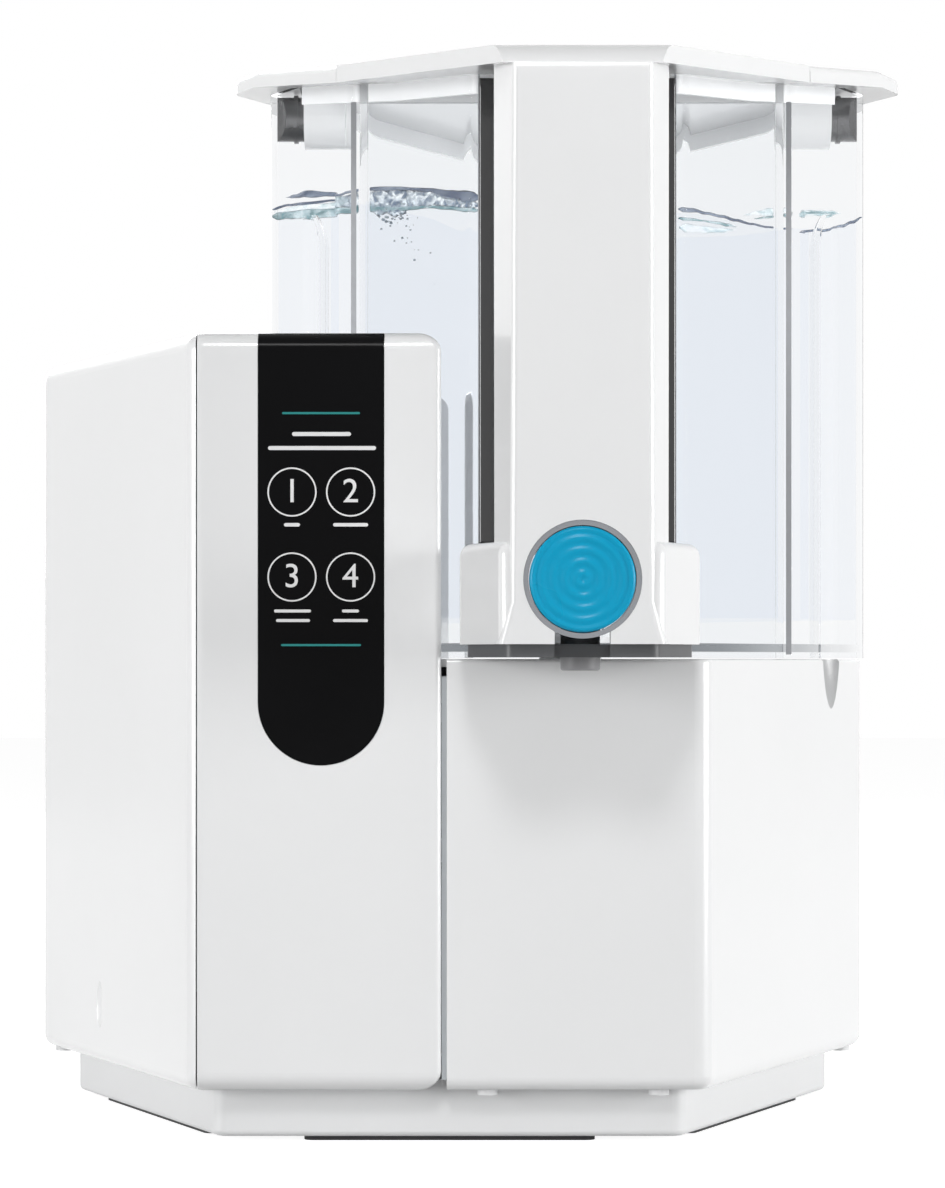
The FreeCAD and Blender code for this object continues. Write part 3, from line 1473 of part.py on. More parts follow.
# Inlet solenoid valve on its post, with a coil, a plunger and a spring
chamber_radius = 6.0
valve_block_low = solenoid_height - 10
valve_block_high = solenoid_height + 10
outlet_z = solenoid_height - 6
seat_z = solenoid_height - 2
core_top = valve_block_high + 30
solenoid_body = box(
    solenoid_x - 14, solenoid_x + 14, solenoid_y - 12, solenoid_y + 12, valve_block_low, valve_block_high,
)
solenoid_body = joined([
    solenoid_body,
    upright(8.0, solenoid_x, solenoid_y, pan_floor_top, valve_block_low + 1),
    upright(13.0, solenoid_x, solenoid_y, pan_floor_top, pan_floor_top + 2),
    upright(7.0, solenoid_x, solenoid_y, valve_block_high - 1, core_top),
    along_x(5.2, solenoid_y, solenoid_height + 2, solenoid_x + 13, solenoid_x + 22),
    along_x(5.2, solenoid_y, outlet_z, solenoid_x - 22, solenoid_x - 13),
])
for cutter in [
    upright(solenoid_plunger_radius + 0.05, solenoid_x, solenoid_y, seat_z, core_top - 2),
    upright(chamber_radius, solenoid_x, solenoid_y, seat_z, valve_block_high - 3),
    upright(2.4, solenoid_x, solenoid_y, outlet_z, seat_z + 1),
    along_x(2.0, solenoid_y, outlet_z, solenoid_x - 16, solenoid_x),
    along_x(tube_radius + 0.02, solenoid_y, outlet_z, solenoid_x - 23, solenoid_x - 15),
    along_x(2.0, solenoid_y, solenoid_height + 2, solenoid_x, solenoid_x + 16),
    along_x(tube_radius + 0.02, solenoid_y, solenoid_height + 2, solenoid_x + 15, solenoid_x + 23),
]:
    solenoid_body = solenoid_body.cut(cutter)
add("solenoid_body", solenoid_body.removeSplitter())
coil_low = valve_block_high + 0.1
coil_high = core_top - 4
winding = upright(13.0, solenoid_x, solenoid_y, coil_low + 2, coil_high - 2)
yoke_low = box(solenoid_x - 11, solenoid_x + 11, solenoid_y - 15, solenoid_y + 15, coil_low, coil_low + 2)
yoke_high = box(solenoid_x - 11, solenoid_x + 11, solenoid_y - 15, solenoid_y + 15, coil_high - 2, coil_high)
yoke_side = box(solenoid_x - 11, solenoid_x + 11, solenoid_y + 12, solenoid_y + 15, coil_low, coil_high)
solenoid_coil = joined([winding, yoke_low, yoke_high, yoke_side])
solenoid_coil = solenoid_coil.cut(upright(7.05, solenoid_x, solenoid_y, coil_low - 1, coil_high + 1))
add("solenoid_coil", solenoid_coil)
plunger_top = core_top - 10
solenoid_plunger = upright(solenoid_plunger_radius, solenoid_x, solenoid_y, seat_z + 0.1, plunger_top)
add("solenoid_plunger", solenoid_plunger)
add(
    "solenoid_spring",
    coil(
        2.8, 0.45, 5, core_top - 2.5 - plunger_top - 1.0,
        Vector(solenoid_x, solenoid_y, plunger_top + 0.5), Vector(0, 0, 1),
    ),
)

# Control board on a steel bracket behind the service panel
bracket_y = board_y + board_thickness / 2 + 3.0
board_bracket = joined([
    box(-44, 44, bracket_y, bracket_y + 1.6, pan_floor_top, board_bottom + board_tall + 2),
    box(-44, 44, bracket_y - 14, bracket_y + 1.6, pan_floor_top, pan_floor_top + 1.6),
])
board_corners = [
    (x, z)
    for x in (-board_width / 2 + 6, board_width / 2 - 6)
    for z in (board_bottom + 6, board_bottom + board_tall - 6)
]
board = box(
    -board_width / 2, board_width / 2, board_y - board_thickness / 2, board_y + board_thickness / 2,
    board_bottom, board_bottom + board_tall,
)
for x, z in board_corners:
    board_bracket = board_bracket.fuse(along_y(3.0, x, z, board_y + board_thickness / 2, bracket_y + 0.5))
    board = board.cut(along_y(1.6, x, z, board_y - 5, board_y + 5))
for index in range(6):
    slot_low = board_bottom + 8 + 9 * index
    board_bracket = board_bracket.cut(box(-28, 28, bracket_y - 1, bracket_y + 3, slot_low, slot_low + 4))
add("board_bracket", board_bracket.removeSplitter())
add("control_board", board)
face_y = board_y - board_thickness / 2
component_boxes = [
    (-38, -8, 36, 56, 22),
    (-4, 12, 40, 56, 15),
    (18, 34, 38, 52, 12),
    (-36, -24, 10, 24, 3),
    (-18, 6, 4, 16, 9),
    (31, 46, 6, 14, 11),
    (12, 36, 18, 26, 7),
]
components = []
for x_low, x_high, z_low, z_high, tall in component_boxes:
    components.append(box(
        x_low, x_high, face_y - tall, face_y, board_bottom + z_low, board_bottom + z_high,
    ))
for x in (-2.0, 8.0):
    components.append(along_y(4.2, x, board_bottom + 28.5, face_y - 14, face_y))
add("board_components", group(components))

# Water tubes: tank dock to valve, filters, pump and back up to the clean dock
port_low_z = manifold_bottom + manifold_height / 2
feed_x = membrane_x - 13.5
drain_x = membrane_x + 1.5
left_turn_x = port_end_x - 32.0
suction_rise_x = port_end_x - 20.0
pressure_rise_x = port_end_x - 14.0
clean_rise_x = port_end_x + 12.0
row_y = -20.0
row_z = solenoid_height + 56.0
tap_turn_z = solenoid_height + 28.0
clean_turn_z = dock_bottom - 36.0
dock_entry_z = dock_bottom - 10.0
suction_y, suction_z = port_places[0]
pressure_y, pressure_z = port_places[1]
tube_insert = 5.0


def manifold_right_at(y):
    return bay_right(y) - divider_thickness - 1.2


tap_run = [
    (tank_x, tap_dock_y, dock_entry_z), (tank_x, tap_dock_y, tap_turn_z), (tank_x, solenoid_y, tap_turn_z),
    (tank_x, solenoid_y, solenoid_height + 2), (solenoid_x + 16, solenoid_y, solenoid_height + 2),
]
filter_run = [
    (solenoid_x - 16, solenoid_y, outlet_z), (left_turn_x, solenoid_y, outlet_z),
    (left_turn_x, solenoid_y, row_z), (left_turn_x, row_y, row_z), (feed_x, row_y, row_z),
    (feed_x, row_y, port_low_z), (feed_x, manifold_back_y - 4, port_low_z),
]
suction_run = [
    (drain_x, manifold_back_y - 4, port_low_z), (drain_x, suction_y, port_low_z),
    (suction_rise_x, suction_y, port_low_z), (suction_rise_x, suction_y, suction_z),
    (head_start_x - 1.2, suction_y, suction_z),
]
pressure_run = [
    (head_start_x - 1.2, pressure_y, pressure_z),
    (pressure_rise_x, pressure_y, pressure_z), (pressure_rise_x, pressure_y, port_low_z),
    (manifold_right_at(pressure_y) - tube_insert, pressure_y, port_low_z),
]
clean_run = [
    (manifold_right_at(clean_dock_y) - tube_insert, clean_dock_y, port_low_z),
    (clean_rise_x, clean_dock_y, port_low_z), (clean_rise_x, clean_dock_y, clean_turn_z),
    (tank_x, clean_dock_y, clean_turn_z), (tank_x, clean_dock_y, dock_entry_z),
]
runs = [tap_run, filter_run, suction_run, pressure_run, clean_run]
water_tubes = []
for run in runs:
    outer = tube(run, tube_radius, tube_bend)
    water_tubes.append(outer)
add("water_tubes", group(water_tubes))

# Passages of the tubes through the divider and into the manifold
for y, z in [
    (row_y, row_z), (suction_y, port_low_z), (pressure_y, port_low_z), (clean_dock_y, port_low_z),
]:
    bay_liner = bay_liner.cut(along_x(tube_radius + 1.0, y, z, bay_right(y) - 13, bay_right(y) + 11))
made["bay_liner"] = bay_liner
for x in (feed_x, drain_x):
    tube_seat = along_y(tube_radius + 0.02, x, port_low_z, manifold_back_y - 5, manifold_back_y + 1)
    manifold = manifold.cut(tube_seat)
    manifold = manifold.cut(along_y(2.0, x, port_low_z, manifold_back_y - 12, manifold_back_y))
for y in (pressure_y, clean_dock_y):
    side_x = manifold_right_at(y)
    manifold = manifold.cut(along_x(tube_radius + 0.02, y, port_low_z, side_x - tube_insert - 1, side_x + 8))
made["filter_manifold"] = manifold

# Service panel in the rear wall: louvres, power inlet and rocker switch


def rear_plate(grow, corner, y_low, y_high):
    # upright plate with rounded corners, grow moves its outline outward
    shape = prism(
        [
            (-panel_half - grow, panel_bottom - grow), (panel_half + grow, panel_bottom - grow),
            (panel_half + grow, panel_top + grow), (-panel_half - grow, panel_top + grow),
        ],
        corner, 0, y_high - y_low,
    )
    shape.rotate(Vector(0, 0, 0), Vector(1, 0, 0), 90)
    shape.translate(Vector(0, y_high, 0))
    return shape


housing = housing.cut(rear_plate(panel_gap, panel_corner, rear_y - housing_wall - 1, rear_y + 1))
ledge_ring = rear_plate(3.0, panel_corner, rear_y - housing_wall - 2.5, rear_y - housing_wall)
ledge_ring = ledge_ring.cut(rear_plate(-5.0, 3.0, rear_y - 20, rear_y))
housing = housing.fuse(ledge_ring)
panel = rear_plate(0, panel_corner, rear_y - panel_thickness, rear_y)
panel = panel.makeFillet(
    0.6, edges_where(panel, lambda b: abs(b.YMin - rear_y) < 1e-4 and abs(b.YMax - rear_y) < 1e-4)
)
panel_screws = []
for x in (-panel_half + 6, panel_half - 6):
    for z in (panel_bottom + 6, panel_top - 6):
        housing = housing.fuse(along_y(boss_radius, x, z, rear_y - housing_wall - 12, rear_y - housing_wall))
        housing = housing.cut(along_y(screw_radius, x, z, rear_y - housing_wall - 10, rear_y + 1))
        panel = panel.cut(along_y(screw_radius + 0.2, x, z, rear_y - 20, rear_y + 1))
        shank = along_y(screw_radius, x, z, rear_y - housing_wall - 9, rear_y + 0.5)
        head = along_y(screw_head_radius, x, z, rear_y, rear_y + screw_head_height)
        head = head.makeFillet(
            0.8, edges_where(head, lambda b: b.YMin > rear_y + screw_head_height - 0.01)
        )
        recess = box(x - 2.4, x + 2.4, rear_y + 1.0, rear_y + 4, z - 0.45, z + 0.45)
        cross = box(x - 0.45, x + 0.45, rear_y + 1.0, rear_y + 4, z - 2.4, z + 2.4)
        panel_screws.append(joined([shank, head]).cut(recess).cut(cross))
housing = housing.removeSplitter()
for row in range(louvre_count):
    z = louvre_top - row * louvre_pitch
    for x in (-louvre_spread, louvre_spread):
        louvre = box(
            x - louvre_length / 2, x + louvre_length / 2, rear_y - 5, rear_y + 5,
            z - louvre_height / 2, z + louvre_height / 2,
        )
        panel = panel.cut(louvre)
inlet_hole = box(
    inlet_x - inlet_width / 2, inlet_x + inlet_width / 2, rear_y - 9, rear_y + 9,
    inlet_height - inlet_tall / 2, inlet_height + inlet_tall / 2,
)
switch_hole = box(
    switch_x - switch_width / 2, switch_x + switch_width / 2, rear_y - 9, rear_y + 9,
    inlet_height - switch_tall / 2, inlet_height + switch_tall / 2,
)
panel = panel.cut(inlet_hole).cut(switch_hole)
add("rear_service_panel", panel.removeSplitter())

inlet_flange = 2.2
rim_proud = 1.5
inlet = box(
    inlet_x - inlet_width / 2 + 0.1, inlet_x + inlet_width / 2 - 0.1, rear_y - inlet_depth, rear_y + 0.5,
    inlet_height - inlet_tall / 2 + 0.1, inlet_height + inlet_tall / 2 - 0.1,
)
inlet = inlet.fuse(box(
    inlet_x - inlet_width / 2 - inlet_flange, inlet_x + inlet_width / 2 + inlet_flange,
    rear_y, rear_y + rim_proud,
    inlet_height - inlet_tall / 2 - inlet_flange, inlet_height + inlet_tall / 2 + inlet_flange,
)).removeSplitter()
socket_front = rear_y + rim_proud - inlet_socket_depth
socket_half = inlet_socket_tall / 2
socket_reach = inlet_socket_width / 2 - socket_half
socket = joined([
    box(
        inlet_x - socket_reach, inlet_x + socket_reach, socket_front, rear_y + 5,
        inlet_height - socket_half, inlet_height + socket_half,
    ),
    along_y(socket_half, inlet_x - socket_reach, inlet_height, socket_front, rear_y + 5),
    along_y(socket_half, inlet_x + socket_reach, inlet_height, socket_front, rear_y + 5),
])
inlet = inlet.cut(socket)
pin_spacing = 8.6
pin_radius = 1.2
pins = []
for side in (-1, 1):
    pin_x = inlet_x + side * pin_spacing / 2
    pin = along_y(pin_radius, pin_x, inlet_height, rear_y - inlet_depth - 5, rear_y + rim_proud - 3)
    pin = pin.makeFillet(0.5, edges_where(pin, lambda b: b.YMin > rear_y + rim_proud - 3.01))
    inlet = inlet.cut(along_y(pin_radius + 0.01, pin_x, inlet_height, rear_y - 40, rear_y + 1))
    pins.append(pin)
add("power_inlet", inlet)
add("inlet_pins", group(pins))

rocker_half_width = 5.2
rocker_axis_y = rear_y - 3.0
rocker_pin_radius = 1.3
rocker_gap = 0.35
switch_depth = 16.0
frame_open_half = 8.8
switch_frame = box(
    switch_x - switch_width / 2 + 0.1, switch_x + switch_width / 2 - 0.1, rear_y - switch_depth, rear_y + 0.5,
    inlet_height - switch_tall / 2 + 0.1, inlet_height + switch_tall / 2 - 0.1,
)
switch_frame = switch_frame.fuse(box(
    switch_x - switch_width / 2 - inlet_flange, switch_x + switch_width / 2 + inlet_flange,
    rear_y, rear_y + rim_proud,
    inlet_height - switch_tall / 2 - inlet_flange, inlet_height + switch_tall / 2 + inlet_flange,
)).removeSplitter()
switch_frame = switch_frame.cut(box(
    switch_x - rocker_half_width - rocker_gap, switch_x + rocker_half_width + rocker_gap,
    rear_y - switch_depth + 3, rear_y + 5,
    inlet_height - frame_open_half, inlet_height + frame_open_half,
))
switch_frame = switch_frame.cut(along_x(
    rocker_pin_radius + 0.05, rocker_axis_y, inlet_height,
    switch_x - rocker_half_width - 1.6, switch_x + rocker_half_width + 1.6,
))
rocker_profile = [
    (-7.6, 4.6), (-7.2, 5.0), (0, 3.2), (7.2, 5.0), (7.6, 4.6), (7.6, 1.0),
    (3.6, -3.6), (-3.6, -3.6), (-7.6, 1.0),
]
rocker_points = []
for z, y in rocker_profile + rocker_profile[:1]:
    rocker_points.append(Vector(switch_x - rocker_half_width, rocker_axis_y + y, inlet_height + z))
rocker_face = Part.Face(Part.makePolygon(rocker_points))
rocker = rocker_face.extrude(Vector(2 * rocker_half_width, 0, 0))
rocker = rocker.fuse(along_x(
    rocker_pin_radius, rocker_axis_y, inlet_height,
    switch_x - rocker_half_width - 1.5, switch_x + rocker_half_width + 1.5,
)).removeSplitter()
rocker.rotate(Vector(0, rocker_axis_y, inlet_height), Vector(1, 0, 0), switch_angle)
add("power_switch_frame", switch_frame)
add("power_rocker", rocker)

# Wires: inlet and switch to the board, board to the motor and to the coil
wire_radius = 1.3
wire_bend = 5.0
terminal_y = face_y - 7.0
wires = []
for side in (-1, 1):
    pin_x = inlet_x + side * pin_spacing / 2
    wires.append(tube(
        [
            (pin_x, rear_y - inlet_depth - 5, inlet_height),
            (pin_x, terminal_y, inlet_height),
            (pin_x, terminal_y, board_bottom + 6),
        ],
        wire_radius, wire_bend,
    ))
for start_x, row, side_x, z, end_y in [
    (24.0, 20.0, motor_end_x + 13, board_bottom + 24, pump_y + 13),
    (30.0, 26.0, motor_end_x + 7, board_bottom + 20, pump_y - 13),
]:
    wires.append(tube(
        [
            (start_x, face_y - 7.0, z), (start_x, row, z), (side_x, row, z),
            (side_x, end_y, z), (side_x, end_y, pump_height), (motor_end_x, end_y, pump_height),
        ],
        wire_radius, wire_bend,
    ))
for x in (solenoid_x - 8, solenoid_x - 3):
    wires.append(along_y(wire_radius, x, board_bottom + 9, solenoid_y + 15, face_y - 9.0))
add("wire_harness", group(wires))
made["board_bracket"] = made["board_bracket"].cut(
    box(30, 50, bracket_y - 2, bracket_y + 3, inlet_height - 5, inlet_height + 4)
)

# Pointed oval finger notch low on the left front slant
pull_y = -58.0
pull_middle_z = 36.7
pull_half_height = 9.8
pull_radius = 4.5
pull_depth = 1.2
body_slant = math.atan(body_slope)
pull_away = pull_radius - pull_depth
pull_profile = Part.Wire([
    Part.Arc(
        Vector(0, 0, -pull_half_height - 5), Vector(pull_radius, 0, 0), Vector(0, 0, pull_half_height + 5),
    ).toShape(),
    Part.LineSegment(Vector(0, 0, pull_half_height + 5), Vector(0, 0, -pull_half_height - 5)).toShape(),
])
side_pull = Part.Face(pull_profile).revolve(Vector(0, 0, 0), Vector(0, 0, 1), 360)
side_pull.translate(Vector(
    -body_half_at(pull_y) - pull_away * math.cos(body_slant),
    pull_y - pull_away * math.sin(body_slant), pull_middle_z,
))
housing = housing.cut(side_pull)
add("housing_shell", housing)
add("base_pan", base_pan)
add("housing_screws", group(screws + panel_screws))

# The whole part moved so that its box stands on the origin, then written out
corner_low = [1e9, 1e9, 1e9]
corner_high = [-1e9, -1e9, -1e9]
for name in made:
    bound = made[name].optimalBoundingBox(False)
    corner_low = [min(a, b) for a, b in zip(corner_low, (bound.XMin, bound.YMin, bound.ZMin))]
    corner_high = [max(a, b) for a, b in zip(corner_high, (bound.XMax, bound.YMax, bound.ZMax))]
shift = Vector(
    -(corner_low[0] + corner_high[0]) / 2, -(corner_low[1] + corner_high[1]) / 2, -corner_low[2],
)
os.makedirs("parts", exist_ok=True)
for name in made:
    made[name].translate(shift)
    made[name].exportStep("parts/" + name + ".step")
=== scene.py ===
import math
import random

import bmesh
import bpy
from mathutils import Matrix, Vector, noise


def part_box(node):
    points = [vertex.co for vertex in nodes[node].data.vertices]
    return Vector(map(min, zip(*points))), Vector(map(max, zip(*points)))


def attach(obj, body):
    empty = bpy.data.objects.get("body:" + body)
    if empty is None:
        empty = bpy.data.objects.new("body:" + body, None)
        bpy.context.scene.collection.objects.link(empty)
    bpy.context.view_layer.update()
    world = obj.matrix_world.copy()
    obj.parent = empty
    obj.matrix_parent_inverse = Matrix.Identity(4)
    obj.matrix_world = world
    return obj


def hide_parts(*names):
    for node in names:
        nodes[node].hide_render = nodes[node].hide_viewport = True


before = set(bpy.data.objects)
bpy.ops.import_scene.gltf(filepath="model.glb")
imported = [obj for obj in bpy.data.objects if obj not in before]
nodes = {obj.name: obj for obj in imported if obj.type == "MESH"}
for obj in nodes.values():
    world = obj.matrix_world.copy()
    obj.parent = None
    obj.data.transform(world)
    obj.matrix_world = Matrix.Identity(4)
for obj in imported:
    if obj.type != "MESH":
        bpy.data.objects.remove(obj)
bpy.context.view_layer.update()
scene = bpy.context.scene
random.seed(7)
print("frame loaded:", len(nodes), "nodes")

# camera
camera = {
    "place": (0.00299, -1.2985, 0.152),
    "focalPixels": 3793.0,
    "axisPixel": (480.0, 659.0),
    "pictureSize": (945, 1188),
    "sensor": 36.0,
}


def makeCamera(c):
    wide, tall = c["pictureSize"]
    data = bpy.data.cameras.new("photoCamera")
    data.sensor_fit = "VERTICAL"
    data.sensor_height = c["sensor"]
    data.lens = c["focalPixels"] / tall * c["sensor"]
    data.shift_x = (wide / 2 - c["axisPixel"][0]) / tall
    data.shift_y = (c["axisPixel"][1] - tall / 2) / tall
    data.clip_start = 0.05
    data.clip_end = 50
    holder = bpy.data.objects.new("photoCamera", data)
    holder.location = c["place"]
    holder.rotation_euler = (math.radians(90), 0, 0)
    scene.collection.objects.link(holder)
    scene.camera = holder


makeCamera(camera)

# light and floor
studio = {
    "floorSize": 12.0,
    "floorTone": 0.5,
    "floorGlow": 0.89,
    "horizonTone": 0.98,
    "zenithTone": 0.06,
    "sideTone": 0.8,
    # where the tone starts and stops falling upwards, with 0.5 at the horizon and 1 overhead
    "skyBand": (0.5, 0.8),
    # where it starts and stops falling sideways, with 1 straight across
    "sideBand": (0.62, 0.86),
    "aim": (0, 0, 0.18),
    "lamps": [
        # name, place, size, power
        ("frontLeft", (-2.4, -1.4, 0.35), 1.2, 45.0),
        ("frontHigh", (-0.1, -2.0, 1.8), 0.5, 15.0),
        ("rightFill", (2.4, -0.8, 0.26), 1.2, 54.0),
        ("backFill", (-0.6, 2.2, 0.9), 1.4, 18.0),
    ],
}


def grey(level):
    return (level, level, level, 1)


def twoToneRamp(tree, positions, levels):
    ramp = tree.nodes.new("ShaderNodeValToRGB")
    for stop, position, level in zip(ramp.color_ramp.elements, positions, levels):
        stop.position = position
        stop.color = grey(level)
    return ramp


def mathNode(tree, operation):
    node = tree.nodes.new("ShaderNodeMath")
    node.operation = operation
    return node


def makeWorld(s):
    world = bpy.data.worlds.new("softRoom")
    scene.world = world
    world.use_nodes = True
    tree = world.node_tree
    tree.nodes.clear()
    out = tree.nodes.new("ShaderNodeOutputWorld")
    seen = tree.nodes.new("ShaderNodeLightPath")
    plain = tree.nodes.new("ShaderNodeBackground")
    bent = tree.nodes.new("ShaderNodeBackground")
    white = tree.nodes.new("ShaderNodeBackground")
    white.inputs["Color"].default_value = grey(1)
    place = tree.nodes.new("ShaderNodeTexCoord")
    axes = tree.nodes.new("ShaderNodeSeparateXYZ")
    tree.links.new(place.outputs["Generated"], axes.inputs[0])
    # the room is bright near the horizon and dim overhead, so that bevels read
    halfUp = mathNode(tree, "MULTIPLY_ADD")
    halfUp.inputs[1].default_value = 0.5
    halfUp.inputs[2].default_value = 0.5
    sky = twoToneRamp(tree, s["skyBand"], (s["horizonTone"], s["zenithTone"]))
    tree.links.new(axes.outputs["Z"], halfUp.inputs[0])
    tree.links.new(halfUp.outputs[0], sky.inputs[0])
    tree.links.new(sky.outputs[0], plain.inputs["Color"])
    # what clear plastic bends to the sides is darker, so its edges show
    across = mathNode(tree, "ABSOLUTE")
    sides = twoToneRamp(tree, s["sideBand"], (1, s["sideTone"]))
    tree.links.new(axes.outputs["X"], across.inputs[0])
    tree.links.new(across.outputs[0], sides.inputs[0])
    tree.links.new(sides.outputs[0], bent.inputs["Color"])
    # the camera and mirror rays see plain white
    glossyOrCamera = mathNode(tree, "MAXIMUM")
    pick = tree.nodes.new("ShaderNodeMixShader")
    pickClear = tree.nodes.new("ShaderNodeMixShader")
    tree.links.new(seen.outputs["Is Camera Ray"], glossyOrCamera.inputs[0])
    tree.links.new(seen.outputs["Is Glossy Ray"], glossyOrCamera.inputs[1])
    tree.links.new(glossyOrCamera.outputs[0], pick.inputs[0])
    tree.links.new(plain.outputs[0], pick.inputs[1])
    tree.links.new(white.outputs[0], pick.inputs[2])
    tree.links.new(seen.outputs["Is Transmission Ray"], pickClear.inputs[0])
    tree.links.new(pick.outputs[0], pickClear.inputs[1])
    tree.links.new(bent.outputs[0], pickClear.inputs[2])
    tree.links.new(pickClear.outputs[0], out.inputs[0])


def makeLamps(s):
    for name, place, size, power in s["lamps"]:
        data = bpy.data.lights.new(name, "AREA")
        data.shape = "DISK"
        data.size = size
        data.energy = power
        lamp = bpy.data.objects.new(name, data)
        lamp.location = place
        lamp.rotation_euler = (Vector(s["aim"]) - Vector(place)).to_track_quat("-Z", "Y").to_euler()
        lamp.visible_camera = False
        lamp.visible_transmission = False
        scene.collection.objects.link(lamp)


def makeFloor(s):
    # pale floor that also glows for the camera, so that only the object's shadow is left on it
    half = s["floorSize"] / 2
    corners = [(-half, -half, 0), (half, -half, 0), (half, half, 0), (-half, half, 0)]
    sheet = bpy.data.meshes.new("floor")
    sheet.from_pydata(corners, [], [(0, 1, 2, 3)])
    floor = bpy.data.objects.new("floor", sheet)
    scene.collection.objects.link(floor)
    paper = bpy.data.materials.new("floorPaper")
    paper.use_nodes = True
    tree = paper.node_tree
    tree.nodes.clear()
    out = tree.nodes.new("ShaderNodeOutputMaterial")
    body = tree.nodes.new("ShaderNodeBsdfDiffuse")
    body.inputs["Color"].default_value = grey(s["floorTone"])
    glow = tree.nodes.new("ShaderNodeEmission")
    glow.inputs["Color"].default_value = grey(1)
    seen = tree.nodes.new("ShaderNodeLightPath")
    anyOf = mathNode(tree, "MAXIMUM")
    anyMore = mathNode(tree, "MAXIMUM")
    level = mathNode(tree, "MULTIPLY")
    level.inputs[1].default_value = s["floorGlow"]
    both = tree.nodes.new("ShaderNodeAddShader")
    tree.links.new(seen.outputs["Is Camera Ray"], anyOf.inputs[0])
    tree.links.new(seen.outputs["Is Glossy Ray"], anyOf.inputs[1])
    tree.links.new(anyOf.outputs[0], anyMore.inputs[0])
    tree.links.new(seen.outputs["Is Transmission Ray"], anyMore.inputs[1])
    tree.links.new(anyMore.outputs[0], level.inputs[0])
    tree.links.new(level.outputs[0], glow.inputs["Strength"])
    tree.links.new(body.outputs[0], both.inputs[0])
    tree.links.new(glow.outputs[0], both.inputs[1])
    tree.links.new(both.outputs[0], out.inputs[0])
    sheet.materials.append(paper)


makeWorld(studio)
makeLamps(studio)
makeFloor(studio)
scene.view_settings.view_transform = "Standard"
print("camera, lamps and floor ready")


# shared surface effects
def groupSocket(group, name, kind, inOut, value=None):
    made = group.interface.new_socket(name=name, in_out=inOut, socket_type=kind)
    if value is not None:
        made.default_value = value


def makeMouldGrain():
    # fine moulded texture: a height for bump and a roughness that varies
    group = bpy.data.node_groups.new("mouldGrain", "ShaderNodeTree")
    groupSocket(group, "Fineness", "NodeSocketFloat", "INPUT", 900.0)
    groupSocket(group, "Roughness Low", "NodeSocketFloat", "INPUT", 0.2)
    groupSocket(group, "Roughness High", "NodeSocketFloat", "INPUT", 0.3)
    groupSocket(group, "Height", "NodeSocketFloat", "OUTPUT")
    groupSocket(group, "Roughness", "NodeSocketFloat", "OUTPUT")
    inside = group.nodes.new("NodeGroupInput")
    outside = group.nodes.new("NodeGroupOutput")
    place = group.nodes.new("ShaderNodeTexCoord")
    fine = group.nodes.new("ShaderNodeTexNoise")
    fine.inputs["Detail"].default_value = 3.0
    broad = group.nodes.new("ShaderNodeTexNoise")
    broad.inputs["Scale"].default_value = 14.0
    broad.inputs["Detail"].default_value = 4.0
    spread = group.nodes.new("ShaderNodeMapRange")
    spread.inputs["From Min"].default_value = 0.3
    spread.inputs["From Max"].default_value = 0.7
    group.links.new(place.outputs["Object"], fine.inputs["Vector"])
    group.links.new(place.outputs["Object"], broad.inputs["Vector"])
    group.links.new(inside.outputs["Fineness"], fine.inputs["Scale"])
    group.links.new(broad.outputs["Fac"], spread.inputs["Value"])
    group.links.new(inside.outputs["Roughness Low"], spread.inputs["To Min"])
    group.links.new(inside.outputs["Roughness High"], spread.inputs["To Max"])
    group.links.new(fine.outputs["Fac"], outside.inputs["Height"])
    group.links.new(spread.outputs["Result"], outside.inputs["Roughness"])
    return group


def makeTintDrift():
    # slow change between two near tones over a surface
    group = bpy.data.node_groups.new("tintDrift", "ShaderNodeTree")
    groupSocket(group, "Tone A", "NodeSocketColor", "INPUT", (0.9, 0.9, 0.9, 1))
    groupSocket(group, "Tone B", "NodeSocketColor", "INPUT", (0.85, 0.85, 0.85, 1))
    groupSocket(group, "Scale", "NodeSocketFloat", "INPUT", 6.0)
    groupSocket(group, "Color", "NodeSocketColor", "OUTPUT")
    inside = group.nodes.new("NodeGroupInput")
    outside = group.nodes.new("NodeGroupOutput")
    place = group.nodes.new("ShaderNodeTexCoord")
    cloud = group.nodes.new("ShaderNodeTexNoise")
    cloud.inputs["Detail"].default_value = 5.0
    cloud.inputs["Roughness"].default_value = 0.6
    steep = group.nodes.new("ShaderNodeMapRange")
    steep.inputs["From Min"].default_value = 0.35
    steep.inputs["From Max"].default_value = 0.65
    mix = group.nodes.new("ShaderNodeMix")
    mix.data_type = "RGBA"
    group.links.new(place.outputs["Object"], cloud.inputs["Vector"])
    group.links.new(inside.outputs["Scale"], cloud.inputs["Scale"])
    group.links.new(cloud.outputs["Fac"], steep.inputs["Value"])
    group.links.new(steep.outputs["Result"], mix.inputs["Factor"])
    group.links.new(inside.outputs["Tone A"], mix.inputs[6])
    group.links.new(inside.outputs["Tone B"], mix.inputs[7])
    group.links.new(mix.outputs[2], outside.inputs["Color"])
    return group


